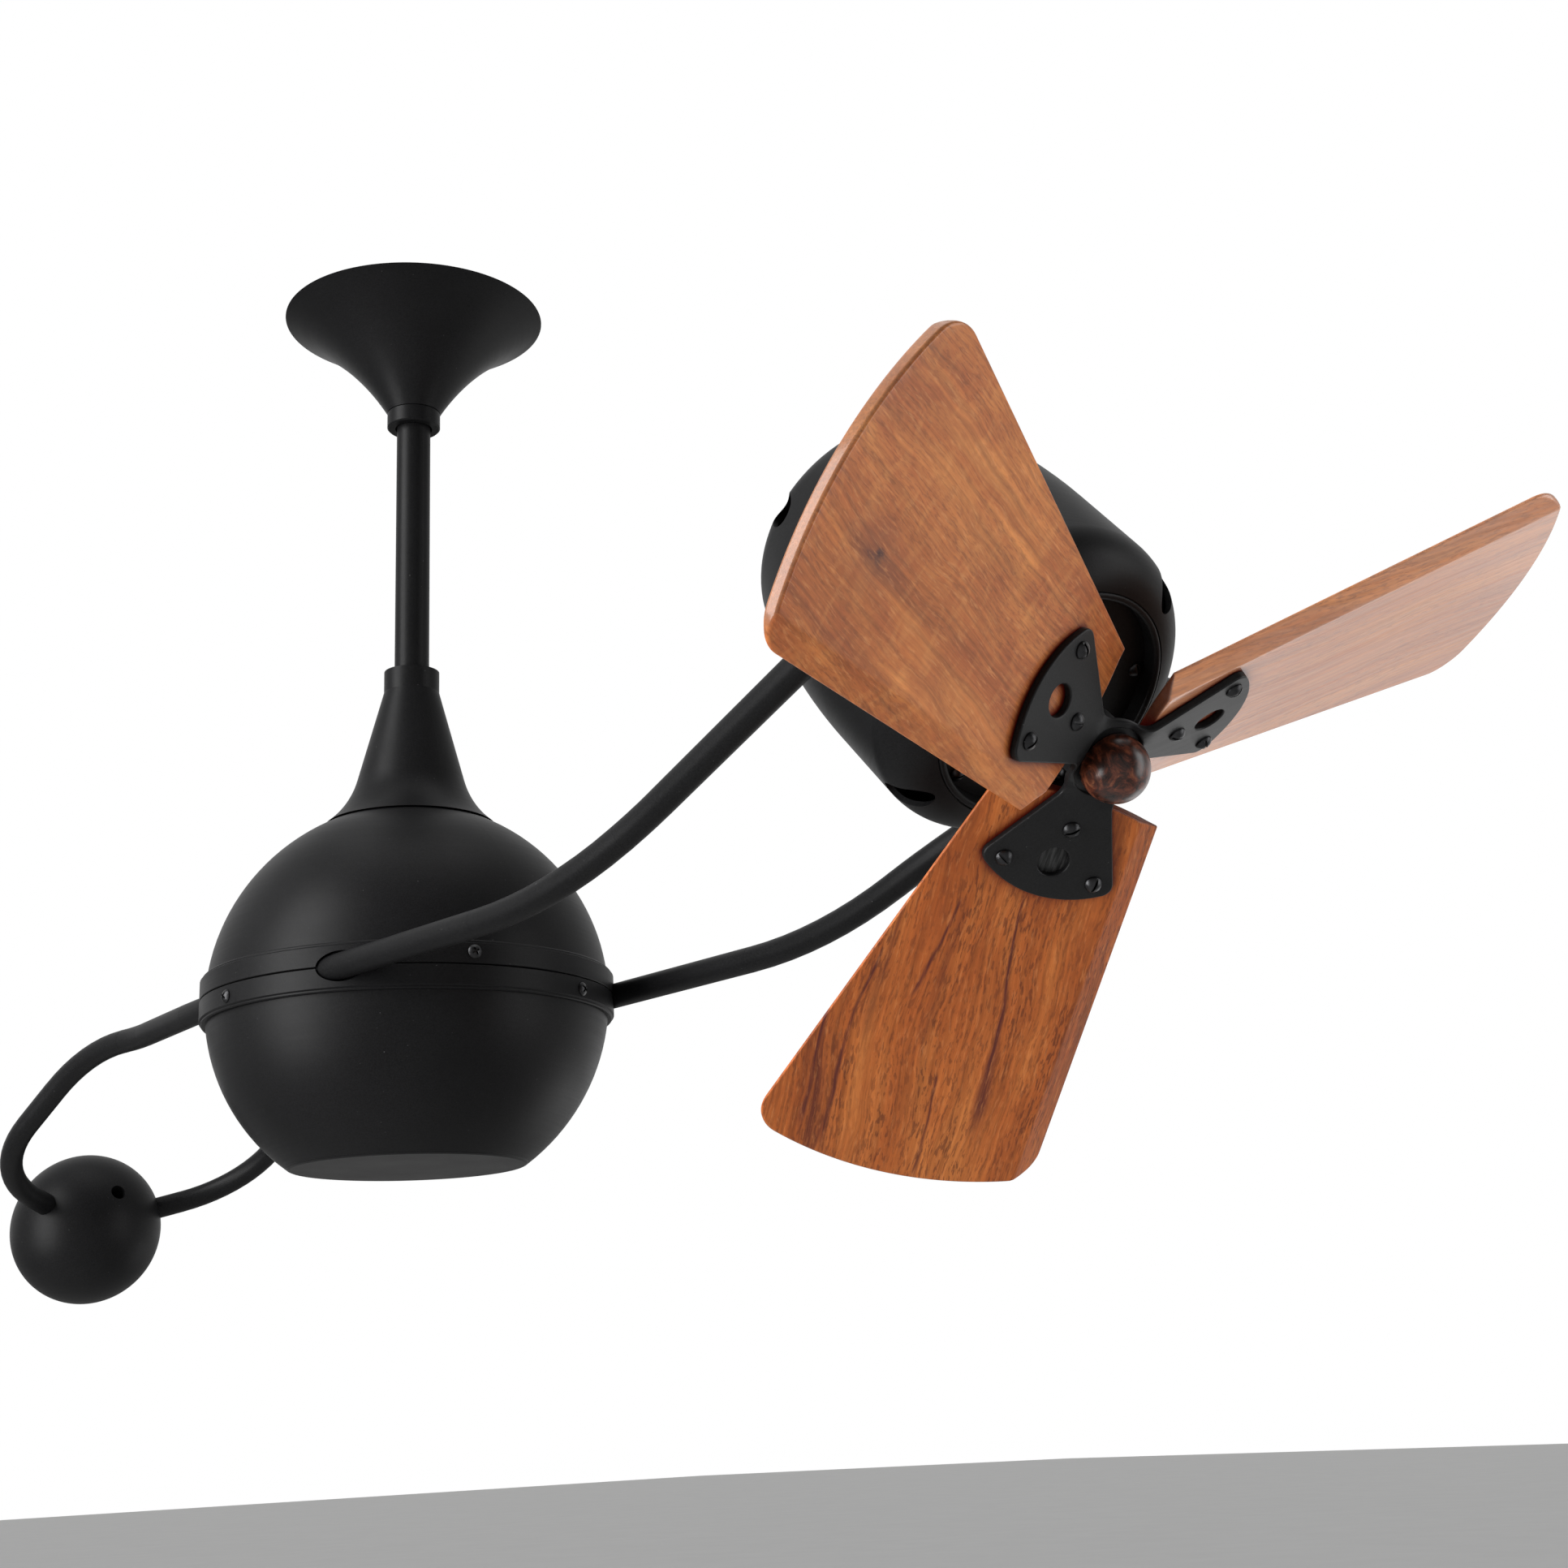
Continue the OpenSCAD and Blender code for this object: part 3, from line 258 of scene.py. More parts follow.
def draw_knot(p, tone, at, centre, ragged):
    """A knot: a soft dark halo, longer with the grain, round a small black heart"""
    gap = p.vector("MULTIPLY", p.vector("SUBTRACT", at, centre), (0.6, 1.0, 0.3))
    far = p.calc("ADD", p.vector("LENGTH", gap, out="Value"), p.line(ragged, 0.010, -0.005))
    halo = p.ramp(p.times(far, 55), (0.0, 0.80), (0.10, 0.50), (0.75, 0.0))
    heart = p.ramp(p.times(far, 300), (0.0, 0.9), (0.9, 0.0))
    return p.mix(heart, p.mix(halo, tone, KNOT_HALO), KNOT_HEART)


def blade_wood(name, seed, coat, gain, grain, veins, mottle, pores=0.66, pale=0.0, knot=None,
               streaks=(), stain=False):
    """Lacquered reddish wood with its grain turned by grain degrees from x: bands, fibres, pores,
    dark veins and ripple. gain tints it, pale adds a painted sheen, a silky grey in place of the
    lacquer's reflected light, knot and streaks are drawn where they are given, and stain blackens
    the wood under the holder's round hole"""
    p = Paint(name, Coat_Weight=coat, Coat_Roughness=0.16, Specular_IOR_Level=0.10)
    off = (seed * 0.37, seed * 0.61, seed * 0.23)
    bend = p.noise(p.place((9, 16, 16), off), 1.0, 3, 0.55)
    wavy = p.add("ShaderNodeCombineXYZ", {1: p.line(bend, 0.016, -0.008)}).outputs[0]
    moved = p.vector("ADD", p.here, wavy)
    with_grain = (0, 0, -math.radians(grain))
    at = p.place(rot=with_grain, at=moved)

    def figure(scale, detail, rough, twist=0.0, move=off):
        return p.noise(p.place(scale, move, at=at), 1.0, detail, rough, twist)

    body = figure((6, 52, 52), 6, 0.62, 0.3)
    tone = p.ramp(body, (0.26, WOOD_DEEP), (0.48, WOOD_MID), (0.70, WOOD_LIGHT))
    cloud = p.ramp(figure((24, 38, 38), 4, 0.6, 0.7), (0.38, 0.0), (0.66, 1.0))
    tone = p.mix(p.times(cloud, mottle), tone, WOOD_CLOUD)
    ripple = p.ramp(figure((95, 45, 45), 2, 0.5, 1.6), (0.50, 0.0), (0.72, 1.0))
    tone = p.mix(p.times(ripple, mottle * 0.28), tone, WOOD_RIPPLE)
    fibre = p.ramp(figure((16, 620, 620), 4, 0.65), (0.30, 0.66), (0.68, 1.22))
    tone = p.mix(1.0, tone, fibre, "MULTIPLY")
    vein = figure((3.4, 58, 58), 5, 0.62, 0.5, (off[0] + 3, off[1], off[2]))
    vein = p.ramp(vein, (0.56, 0.0), (0.68, 1.0))
    thread = p.ramp(figure((6, 480, 480), 3, 0.6), (0.40, 0.15), (0.60, 1.0))
    tone = p.mix(p.times(p.times(vein, thread), veins), tone, WOOD_VEIN)
    if streaks:
        ragged = p.ramp(figure((30, 900, 900), 3, 0.6), (0.35, 0.45), (0.6, 1.0))
        tone = draw_streaks(p, tone, moved, ragged, streaks)
    if knot:
        ragged = figure((140, 260, 260), 4, 0.6)
        tone = draw_knot(p, tone, at, p.place(rot=with_grain, at=knot), ragged)
    crowd = p.ramp(figure((12, 90, 90), 3, 0.5), (0.36, 0.25), (0.62, 1.0))
    pore = p.ramp(figure((230, 1250, 1250), 2, 0.45), (0.53, 0.0), (0.60, 1.0))
    pore = p.times(pore, crowd)
    tone = p.mix(p.times(pore, pores), tone, WOOD_PORE)
    fleck = figure((130, 900, 900), 3, 0.6, move=(off[2], off[0], 1))
    fleck = p.ramp(fleck, (0.56, 0.0), (0.74, 1.0))
    tone = p.mix(p.times(fleck, 0.35), tone, WOOD_FLECK)
    # painted sheen: where pale is given, streaks of a silky grey stand in for light reflected by the
    # lacquer
    if pale:
        painted_sheen = p.ramp(figure((9, 330, 330), 4, 0.6), (0.34, 0.55), (0.66, 1.25))
        tone = p.mix(p.times(painted_sheen, pale), tone, WOOD_PAINTED_SHEEN)
    tone = p.mix(1.0, tone, gain, "MULTIPLY")
    normal = p.add("ShaderNodeTexCoord").outputs["Normal"]
    outward = p.add("ShaderNodeSeparateXYZ", {0: normal}).outputs[0]
    tone = p.mix(p.ramp(p.times(outward, -1.0), (0.45, 0.0), (0.8, 0.85)), tone, ROOT_END)
    tone = p.mix(p.ramp(outward, (0.35, 0.0), (0.80, 0.62)), tone, TIP_END)
    corner = p.add("ShaderNodeAmbientOcclusion", {"Distance": CORNER_REACH}, samples=8).outputs["AO"]
    tone = p.mix(p.ramp(corner, (0.55, 1.0), (0.80, 0.45), (0.97, 0.0)), tone, CORNER_SHADE)
    if stain:
        gap = p.vector("DISTANCE", p.here, (HOLE_X * MM, 0, -PLATE_T * MM), out="Value")
        spot = p.ramp(p.times(gap, 100), (0.64, 1.0), (0.72, 0.0))
        soot = p.ramp(figure((60, 700, 700), 4, 0.6), (0.42, (0.006,) * 3), (0.66, (0.05,) * 3))
        tone = p.mix(spot, tone, soot)
    spread = p.line(body, 0.16, 0.40)
    normal = p.bump(pore, 0.25, -0.00015)
    normal = p.bump(fibre, 0.06, 0.0002, normal)
    return p.done(tone, spread, normal)


def burl(name):
    """Dark burl under a thin satin coat: swirled figure with small eyes"""
    p = Paint(name, Coat_Weight=0.26, Coat_Roughness=0.28, Specular_IOR_Level=0.12)
    swirl = p.noise(p.here, 120, 5, 0.65, 2.2)
    tone = p.ramp(swirl, (0.34, (0.004, 0.002, 0.0015)), (0.46, (0.022, 0.006, 0.003)),
                  (0.57, (0.075, 0.019, 0.009)), (0.72, (0.17, 0.062, 0.027)))
    eyes = p.ramp(p.noise(p.here, 420, 3, 0.6, 1.0), (0.55, 0.0), (0.66, 1.0))
    tone = p.mix(p.times(eyes, 0.6), tone, (0.015, 0.005, 0.004))
    return p.done(tone, p.line(swirl, 0.15, 0.22), p.bump(swirl, 0.06, 0.0003))


DUST = (0.12, 0.12, 0.12)
SCRATCH = 0.25  # how far scratches spread a metal's roughness
WOOD_LIGHT, WOOD_MID, WOOD_DEEP = (0.470, 0.178, 0.048), (0.345, 0.104, 0.024), (0.200, 0.050, 0.012)
WOOD_CLOUD, WOOD_RIPPLE = (0.235, 0.055, 0.014), (0.54, 0.23, 0.07)
WOOD_VEIN, WOOD_STREAK = (0.075, 0.016, 0.012), (0.070, 0.015, 0.015)
# the last colour here is a painted sheen, a grey that stands in for reflected light
WOOD_PORE, WOOD_FLECK, WOOD_PAINTED_SHEEN = (0.080, 0.022, 0.010), (0.62, 0.27, 0.10), (0.46, 0.30, 0.235)
KNOT_HALO, KNOT_HEART = (0.105, 0.034, 0.022), (0.018, 0.010, 0.012)
ROOT_END, TIP_END = (0.050, 0.010, 0.005), (0.115, 0.062, 0.036)  # end grain
CORNER_REACH = 0.009  # the wood is darker this near to the petals
CORNER_SHADE = (0.060, 0.003, 0.001)
STREAK_THIN = 0.0008
COAT_DARK, COAT_LIGHT = (0.0034, 0.0034, 0.0036), (0.0050, 0.0050, 0.0053)

BLACK = coat("black_coat", COAT_DARK, COAT_LIGHT, 0.42)
HOLDER = coat("holder_coat", (0.0036, 0.0036, 0.0038), (0.0055, 0.0055, 0.0058), 0.45, 0.14, 0.1, 0.13)
BALL = coat("ball_coat", COAT_DARK, COAT_LIGHT, 0.43, 0.16, 0.2)
INNER = coat("inner_coat", (0.040, 0.040, 0.043), (0.055, 0.055, 0.058), 0.55, 0.2, 0.1)
SCREW = steel("dark_steel", (0.025, 0.025, 0.026), 0.38)
BRIGHT = steel("bright_steel", (0.60, 0.61, 0.63), 0.30)
CORE = steel("varnished_core", (0.075, 0.072, 0.070), 0.52)
COPPER = steel("copper", (0.72, 0.34, 0.17), 0.28)
MOULDED = moulded("moulding", (0.09, 0.085, 0.08))
CARBON = moulded("carbon", (0.03, 0.03, 0.03), 0.62)
WIRE = winding("winding")
KNOB = burl("knob_burl")
STREAKS = (
    (0.060, -0.0018, 0.27, 0.172, 0.0048),
    (0.098, -0.0420, 0.13, 0.198, 0.0020),
    (0.128, -0.0485, 0.16, 0.186, 0.0012),
    (0.145, 0.0010, 0.25, 0.198, 0.0014),
    (0.070, -0.0250, 0.06, 0.118, 0.0008),
)
WOODS = [
    blade_wood("blade_wood_1", 1.0, 0.08, (0.84, 0.72, 0.62), 13.0, 1.0, 0.25,
               streaks=STREAKS, stain=True),
    # this blade gets a painted sheen through pale
    blade_wood("blade_wood_2", 4.0, 0.62, (0.96, 0.90, 0.82), 0.0, 0.30, 0.15,
               pores=0.50, pale=0.35),
    blade_wood("blade_wood_3", 7.3, 0.30, (0.98, 0.98, 0.94), 0.0, 0.05, 0.75,
               pores=0.30, knot=(0.1615, 0.0167, -0.003)),
]

# ---------------------------------------------------------------- finish of every CAD node
FINISHES = (
    (BLACK, "canopy canopy_collar downrod neck globe_upper globe_lower arm_left arm_right "
            "motor_front_shell motor_rear_shell front_cover"),
    (HOLDER, "spider"),
    (BALL, "counterweight"),
    (INNER, "ceiling_plate carrier crossbar arm_clamps support_ring"),
    (SCREW, "collar_screw neck_screw clamp_screws flange_screws band_screws counterweight_screw "
            "cover_screws housing_screws pivot_bolts pivot_spacers blade_screws"),
    (BRIGHT, "hanger_pin spindle spindle_pin upper_bearing_inner lower_bearing_inner spindle_washer "
             "spindle_nut upper_bearing_outer lower_bearing_outer bearing_balls holder_screws "
             "capacitor_strap head_bearing_outer head_bearing_balls motor_shaft head_bearing_inner "
             "hub_nut"),
    (CORE, "stator_core rotor_core"),
    (COPPER, "slip_rings"),
    (MOULDED, "slip_drum brush_holder run_capacitor"),
    (CARBON, "brushes"),
    (WIRE, "stator_windings"),
    (KNOB, "spinner"),
    (WOODS[0], "blade_1"),
    (WOODS[1], "blade_2"),
    (WOODS[2], "blade_3"),
)
finish_of = {name: finish for finish, names in FINISHES for name in names.split()}
for name, obj in nodes.items():
    obj.data.materials.clear()
    obj.data.materials.append(finish_of[name])


# ---------------------------------------------------------------- mesh helpers
def solid(name, verts, faces, place, finish, body, node, sharp):
    """The closed mesh that stands for a node: millimetres in its own frame, put in place, riding on a
    body, shaded smooth up to the sharp angle"""
    mesh = bpy.data.meshes.new(name)
    mesh.from_pydata([Vector(v) * MM for v in verts], [], faces)
    mesh.materials.append(finish)
    work = bmesh.new()
    work.from_mesh(mesh)
    bmesh.ops.remove_doubles(work, verts=work.verts, dist=1e-7)
    bmesh.ops.recalc_face_normals(work, faces=work.faces)
    work.to_mesh(mesh)
    work.free()
    mesh.shade_smooth()
    mesh.set_sharp_from_angle(angle=math.radians(sharp))
    obj = bpy.data.objects.new(name, mesh)
    scene.collection.objects.link(obj)
    obj.matrix_world = place
    obj.modifiers.new("even_shading", "WEIGHTED_NORMAL").keep_sharp = True
    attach(obj, body)
    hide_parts(node)


def circle(radius, count, centre=(0, 0), way=1):
    """Points all round a circle, anticlockwise, or clockwise with way = -1"""
    angles = (way * 2 * math.pi * i / count for i in range(count))
    return [(centre[0] + radius * math.cos(a), centre[1] + radius * math.sin(a)) for a in angles]


def band(a, b, n):
    """Faces between two rings of n points that start at the numbers a and b"""
    return [(a + i, b + i, b + (i + 1) % n, a + (i + 1) % n) for i in range(n)]


def closed(start, n):
    """Edges of a ring of n points"""
    return [(start + i, start + (i + 1) % n) for i in range(n)]


def append(verts, faces, more, tris):
    """Adds one mesh's lists to another's"""
    faces += [tuple(len(verts) + i for i in f) for f in tris]
    verts += more


def arc(centre, radius, start, end, steps):
    """Points on an arc, angles in degrees"""
    out = []
    for i in range(steps + 1):
        a = math.radians(start + (end - start) * i / steps)
        out.append((centre[0] + radius * math.cos(a), centre[1] + radius * math.sin(a)))
    return out


def inset(loop, d):
    """The closed loop moved inwards by d (anticlockwise loops), with mitred corners"""
    out = []
    n = len(loop)
    for i in range(n):
        a, b, c = Vector(loop[i - 1]), Vector(loop[i]), Vector(loop[(i + 1) % n])
        u, v = (b - a).normalized(), (c - b).normalized()
        nu, nv = Vector((-u.y, u.x)), Vector((-v.y, v.x))
        m = nu + nv
        out.append(tuple(b + m * (d / max(0.25, 1 + nu.dot(nv)))))
    return out


def inside(p, loop):
    """True where the point lies within the closed loop"""
    x, y = p
    hit = False
    for i in range(len(loop)):
        (x0, y0), (x1, y1) = loop[i - 1], loop[i]
        if (y0 > y) != (y1 > y) and x < x0 + (y - y0) / (y1 - y0) * (x1 - x0):
            hit = not hit
    return hit


def plate(outline, holes, z0, z1, round_r, grid, bend):
    """Verts and faces of a sheet with rounded edges, laid out flat with points every grid mm and then
    bent. outline runs anticlockwise, holes clockwise"""
    loops = [outline, *holes]
    levels = [(round_r * (1 - math.sin(a)), z1 - round_r * (1 - math.cos(a)))
              for a in (math.pi / 2 * i / ROUND_STEPS for i in range(ROUND_STEPS + 1))]
    levels += [(d, z0 + z1 - z) for d, z in reversed(levels)]
    verts, faces, starts = [], [], []
    for d, z in levels:
        row = []
        for loop in loops:
            row.append(len(verts))
            verts += [(x, y, z) for x, y in inset(loop, d)]
        starts.append(row)
    for lower, upper in zip(starts, starts[1:]):
        for a, b, loop in zip(lower, upper, loops):
            faces += band(a, b, len(loop))
    rims = [inset(loop, round_r) for loop in loops]
    flat, edges = [], []
    for rim in rims:
        edges += closed(len(flat), len(rim))
        flat += [Vector(p) for p in rim]
    xs, ys = [p[0] for p in outline], [p[1] for p in outline]
    clear = [inset(loop, round_r + grid * 0.5) for loop in loops]
    x = min(xs)
    while x < max(xs):
        y = min(ys)
        while y < max(ys):
            if inside((x, y), clear[0]) and not any(inside((x, y), c) for c in clear[1:]):
                flat.append(Vector((x, y)))
            y += grid
        x += grid
    points, _, tris, *_ = geometry.delaunay_2d_cdt(flat, edges, [], 0, 1e-6)
    for z, flip in ((z1, False), (z0, True)):
        kept = []
        for t in tris:
            c = sum((points[i] for i in t), Vector((0, 0))) / 3
            if inside(c, rims[0]) and not any(inside(c, r) for r in rims[1:]):
                kept.append(tuple(reversed(t)) if flip else tuple(t))
        append(verts, faces, [(p.x, p.y, z) for p in points], kept)
    return [bend(v) for v in verts], faces


def lathe(profile, steps):
    """Verts and faces of a turned piece: profile is a closed loop of (radius, height)"""
    verts, faces, rows = [], [], []
    for r, z in profile:
        if r < 1e-6:
            rows.append([len(verts)] * steps)
            verts.append((0, 0, z))
        else:
            rows.append(list(range(len(verts), len(verts) + steps)))
            verts += [(x, y, z) for x, y in circle(r, steps)]
    for a, b in zip(rows, rows[1:] + rows[:1]):
        for i in range(steps):
            j = (i + 1) % steps
            face = tuple(dict.fromkeys((a[i], a[j], b[j], b[i])))
            if len(face) > 2:
                faces.append(face)
    return verts, faces


# ---------------------------------------------------------------- blades
SWEEP_R, TIP_R, CORNER_R = 196.7, 160.9, 13.6  # the blades' sweep, a blade's tip arc, its corners
ROOT_X, ROOT_W, ROOT_R = 17.7, 34.9, 155.0  # the root's place, half width and bow
TIP_C = Vector((SWEEP_R - TIP_R, -3.3))
SIDE_STEPS = 60
CORNER_STEPS, TIP_STEPS = 14, 64
ROUND_STEPS = 4  # of the holder's rounded edges
EASE_STEPS = 5  # of a board's rounded edges
CAP_GRID = 7.0
SHARP, SCREW_SHARP = 40, 35  # degrees from which an edge is shaded sharp


def along(p, q):
    """The direction from p to q"""
    return (Vector(q) - Vector(p)).normalized()


AFT, FORE = Vector((ROOT_X + 4, -ROOT_W)), Vector((ROOT_X + 4, ROOT_W))
AFT_WAY, FORE_WAY = along(AFT, (174, -57.3)), along(FORE, (174, 61.7))
AFT_IN, FORE_IN = Vector((-AFT_WAY.y, AFT_WAY.x)), Vector((FORE_WAY.y, -FORE_WAY.x))


def corner_centre(p, u, n):
    """Centre of the corner circle that touches the tip's arc and the side from p along u"""
    o = p + CORNER_R * n - TIP_C
    b, c = o.dot(u), o.dot(o) - (TIP_R - CORNER_R) ** 2
    return p + CORNER_R * n + (math.sqrt(b * b - c) - b) * u


def degrees(v):
    return math.degrees(math.atan2(v.y, v.x))


def stretch(p, q, n):
    """n - 1 points between p and q"""
    return [tuple(Vector(p).lerp(Vector(q), i / n)) for i in range(1, n)]


def blunt(before, corner, after, r):
    """A corner cut back by r with a small round"""
    c = Vector(corner)
    p, q = c + along(corner, before) * r, c + along(corner, after) * r
    return [tuple(p * (1 - t) ** 2 + c * 2 * t * (1 - t) + q * t * t) for t in (0, 0.2, 0.4, 0.6, 0.8, 1)]


def blade_outline():
    """Anticlockwise outline: straight sides, round tip and tip corners, slightly bowed root"""
    ca, cb = corner_centre(AFT, AFT_WAY, AFT_IN), corner_centre(FORE, FORE_WAY, FORE_IN)
    out_a, out_b = degrees(ca - TIP_C), degrees(cb - TIP_C)
    loop = arc(ca, CORNER_R, degrees(AFT_WAY) - 90, out_a, CORNER_STEPS)
    loop += arc(TIP_C, TIP_R, out_a, out_b, TIP_STEPS)[1:-1]
    loop += arc(cb, CORNER_R, out_b, degrees(FORE_WAY) + 90, CORNER_STEPS)
    reach = ROOT_W - 0.6
    bow = [(ROOT_X + ROOT_R - math.sqrt(ROOT_R ** 2 - y * y), y)
           for y in (reach * (1 - i / 22) for i in range(45))]
    fore_end = blunt(loop[-1], FORE, bow[0], 0.5)
    aft_end = blunt(bow[-1], AFT, loop[0], 0.5)
    return (loop + stretch(loop[-1], fore_end[0], SIDE_STEPS) + fore_end + bow[1:-1] + aft_end
            + stretch(aft_end[-1], loop[0], SIDE_STEPS))


def ease(t, e=0.07):
    """max(t, 0) with a small round at zero"""
    return 0.0 if t <= -e else t if t >= e else (t + e) ** 2 / (4 * e)


def face_z(p):
    """Height of a blade's front face, with the slope along its fore edge"""
    return -PLATE_T - EDGE_H * ease(1 - (Vector(p) - FORE).dot(FORE_IN) / EDGE_W)


def back_z(p):
    """Height of a blade's back, with the slope along its aft edge"""
    rise = ease(1 - (Vector(p) - AFT).dot(AFT_IN) / EDGE_W)
    return -PLATE_T - BLADE_T + (BLADE_T - LAND) * rise


def crease(start, way, inward, rim):
    """Rows of points on both sides of the line where a long edge's slope begins"""
    rows = []
    for off in (-0.9, -0.35, 0.35, 0.9):
        row = []
        for i in range(95):
            q = start + way * (2 * i - 2) + inward * (EDGE_W + off)
            if inside(q, rim):
                row.append(q)
        rows.append(row)
    return rows


def sheet_cap(rim, rows, height, flip):
    """Verts and triangles that close a rim: rows are lines kept as edges, height gives z at a point"""
    flat = [Vector(p) for p in rim]
    edges = closed(0, len(rim))
    for row in rows:
        edges += [(len(flat) + i, len(flat) + i + 1) for i in range(len(row) - 1)]
        flat += row
    well = inset(rim, CAP_GRID * 0.5)
    for i in range(int(max(p[0] for p in rim) / CAP_GRID) + 1):
        for j in range(-16, 17):
            q = Vector((i * CAP_GRID, j * CAP_GRID))
            if inside(q, well) and all((q - r).length > CAP_GRID * 0.4 for row in rows for r in row):
                flat.append(q)
    points, _, tris, *_ = geometry.delaunay_2d_cdt(flat, edges, [tuple(range(len(rim)))], 1, 1e-5)
    verts = [(p.x, p.y, height(p)) for p in points]
    return verts, [tuple(reversed(t)) if flip else tuple(t) for t in tris]


def board():
    """Verts and faces of one blade"""
    loop = blade_outline()
    push = [Vector(b) - Vector(a) for a, b in zip(loop, inset(loop, 1.0))]
    soft = [min(1.3, 0.40 * (face_z(p) - back_z(p))) for p in loop]
    angles = [math.pi / 2 * i / EASE_STEPS for i in range(EASE_STEPS + 1)]
    verts, faces, rows = [], [], []
    for height, sign, turns in ((face_z, -1, angles), (back_z, 1, angles[::-1])):
        for a in turns:
            rows.append(len(verts))
            for p, n, r in zip(loop, push, soft):
                q = Vector(p) + n * (r * (1 - math.sin(a)))
                verts.append((q.x, q.y, height(q) + sign * r * (1 - math.cos(a))))
    for a, b in zip(rows, rows[1:]):
        faces += band(a, b, len(loop))
    rim = [tuple(Vector(p) + v * r) for p, v, r in zip(loop, push, soft)]
    well = inset(rim, 0.5)
    for height, folds, flip in ((face_z, crease(FORE, FORE_WAY, FORE_IN, well), False),
                                (back_z, crease(AFT, AFT_WAY, AFT_IN, well), True)):
        append(verts, faces, *sheet_cap(rim, folds, height, flip))
    return verts, faces


verts, faces = board()
for k in range(3):
    solid(f"blade_board_{k + 1}", verts, faces, blade_frame(k), WOODS[k], "rotor",
          f"blade_{k + 1}", SHARP)


# ---------------------------------------------------------------- blade holder
HOLDER_R = 17.0
PETAL_IN, PETAL_CORNER, PETAL_R, PETAL_TIP = Vector((16, 10)), Vector((48.3, 22.2)), 4.6, 59.6
FILLET = 6.0
TWIST_FROM, TWIST_LONG = 8, 9.6  # where an arm begins to twist, and over what length
BOSS_LOW = 46 - HUB_Z


def holder_outline():
    """Three petals and the round hub between them, with fillets in the inner corners"""
    d = PETAL_CORNER - PETAL_IN
    lean = math.atan2(d.y, d.x) + math.asin(PETAL_R / d.length)
    u, n = Vector((math.cos(lean), math.sin(lean))), Vector((-math.sin(lean), math.cos(lean)))
    near = PETAL_IN.dot(n)
    centre = u * math.sqrt((HOLDER_R + FILLET) ** 2 - (near + FILLET) ** 2) + n * (near + FILLET)
    reach = PETAL_TIP - PETAL_R
    cx = (reach ** 2 - PETAL_CORNER.length_squared) / (2 * (reach - PETAL_CORNER.x))
    out = degrees(PETAL_CORNER - Vector((cx, 0)))
    side = math.degrees(lean) + 90
    upper = arc((cx, 0), PETAL_TIP - cx, 0, out, 20)[1:] + arc(PETAL_CORNER, PETAL_R, out, side, 10)[1:]
    upper += stretch(upper[-1], centre - n * FILLET, 12)
    upper += arc(centre, FILLET, side - 180, degrees(centre) - 180, 10)
    upper += arc((0, 0), HOLDER_R, degrees(centre), 60, 4)[1:]
    lower = [(x, -y) for x, y in reversed(upper[:-1])]
    one = lower + [(PETAL_TIP, 0.0)] + upper
    loop = []
    for k in range(3):
        spin = turn("Z", 120 * k)
        loop += [tuple((spin @ Vector((x, y, 0))).xy) for x, y in one]
    return loop


def twisted(v):
    """Bends a flat point of the holder: each arm twists from the flat hub to its pitched petal"""
    k = round(math.degrees(math.atan2(v[1], v[0])) / 120) % 3
    p = turn("Z", -120 * k) @ Vector(v)
    f = min(1.0, max(0.0, (p.x - TWIST_FROM) / TWIST_LONG))
    return tuple(turn("Z", 120 * k) @ turn("X", PITCH * f * f * (3 - 2 * f)) @ p)


openings = [circle(14.3, 72, way=-1)]
for k in range(3):
    openings.append(circle(6.0, 40, (turn("Z", 120 * k) @ Vector((HOLE_X, 0, 0))).xy, -1))
verts, faces = plate(holder_outline(), openings, -PLATE_T, 0.0, 0.7, 2.6, twisted)
boss = [(0.0, BOSS_LOW), (12.3, BOSS_LOW), (12.8, BOSS_LOW + 0.2), (13.0, BOSS_LOW + 0.7), (13.0, -3.4),
        (13.2, -3.05), (14.6, -2.95), (14.6, -1.85), (14.2, -1.8), (0.0, -1.8)]
append(verts, faces, *lathe(boss, 72))
solid("blade_holder", verts, faces, HEAD @ shift(0, 0, HUB_Z) @ turn("Z", PHASE), HOLDER, "rotor",
      "spider", SHARP)


# ---------------------------------------------------------------- screws
SIDES = 40  # round a screw
SLOT_EASE = 0.03  # half width of a slot's wall


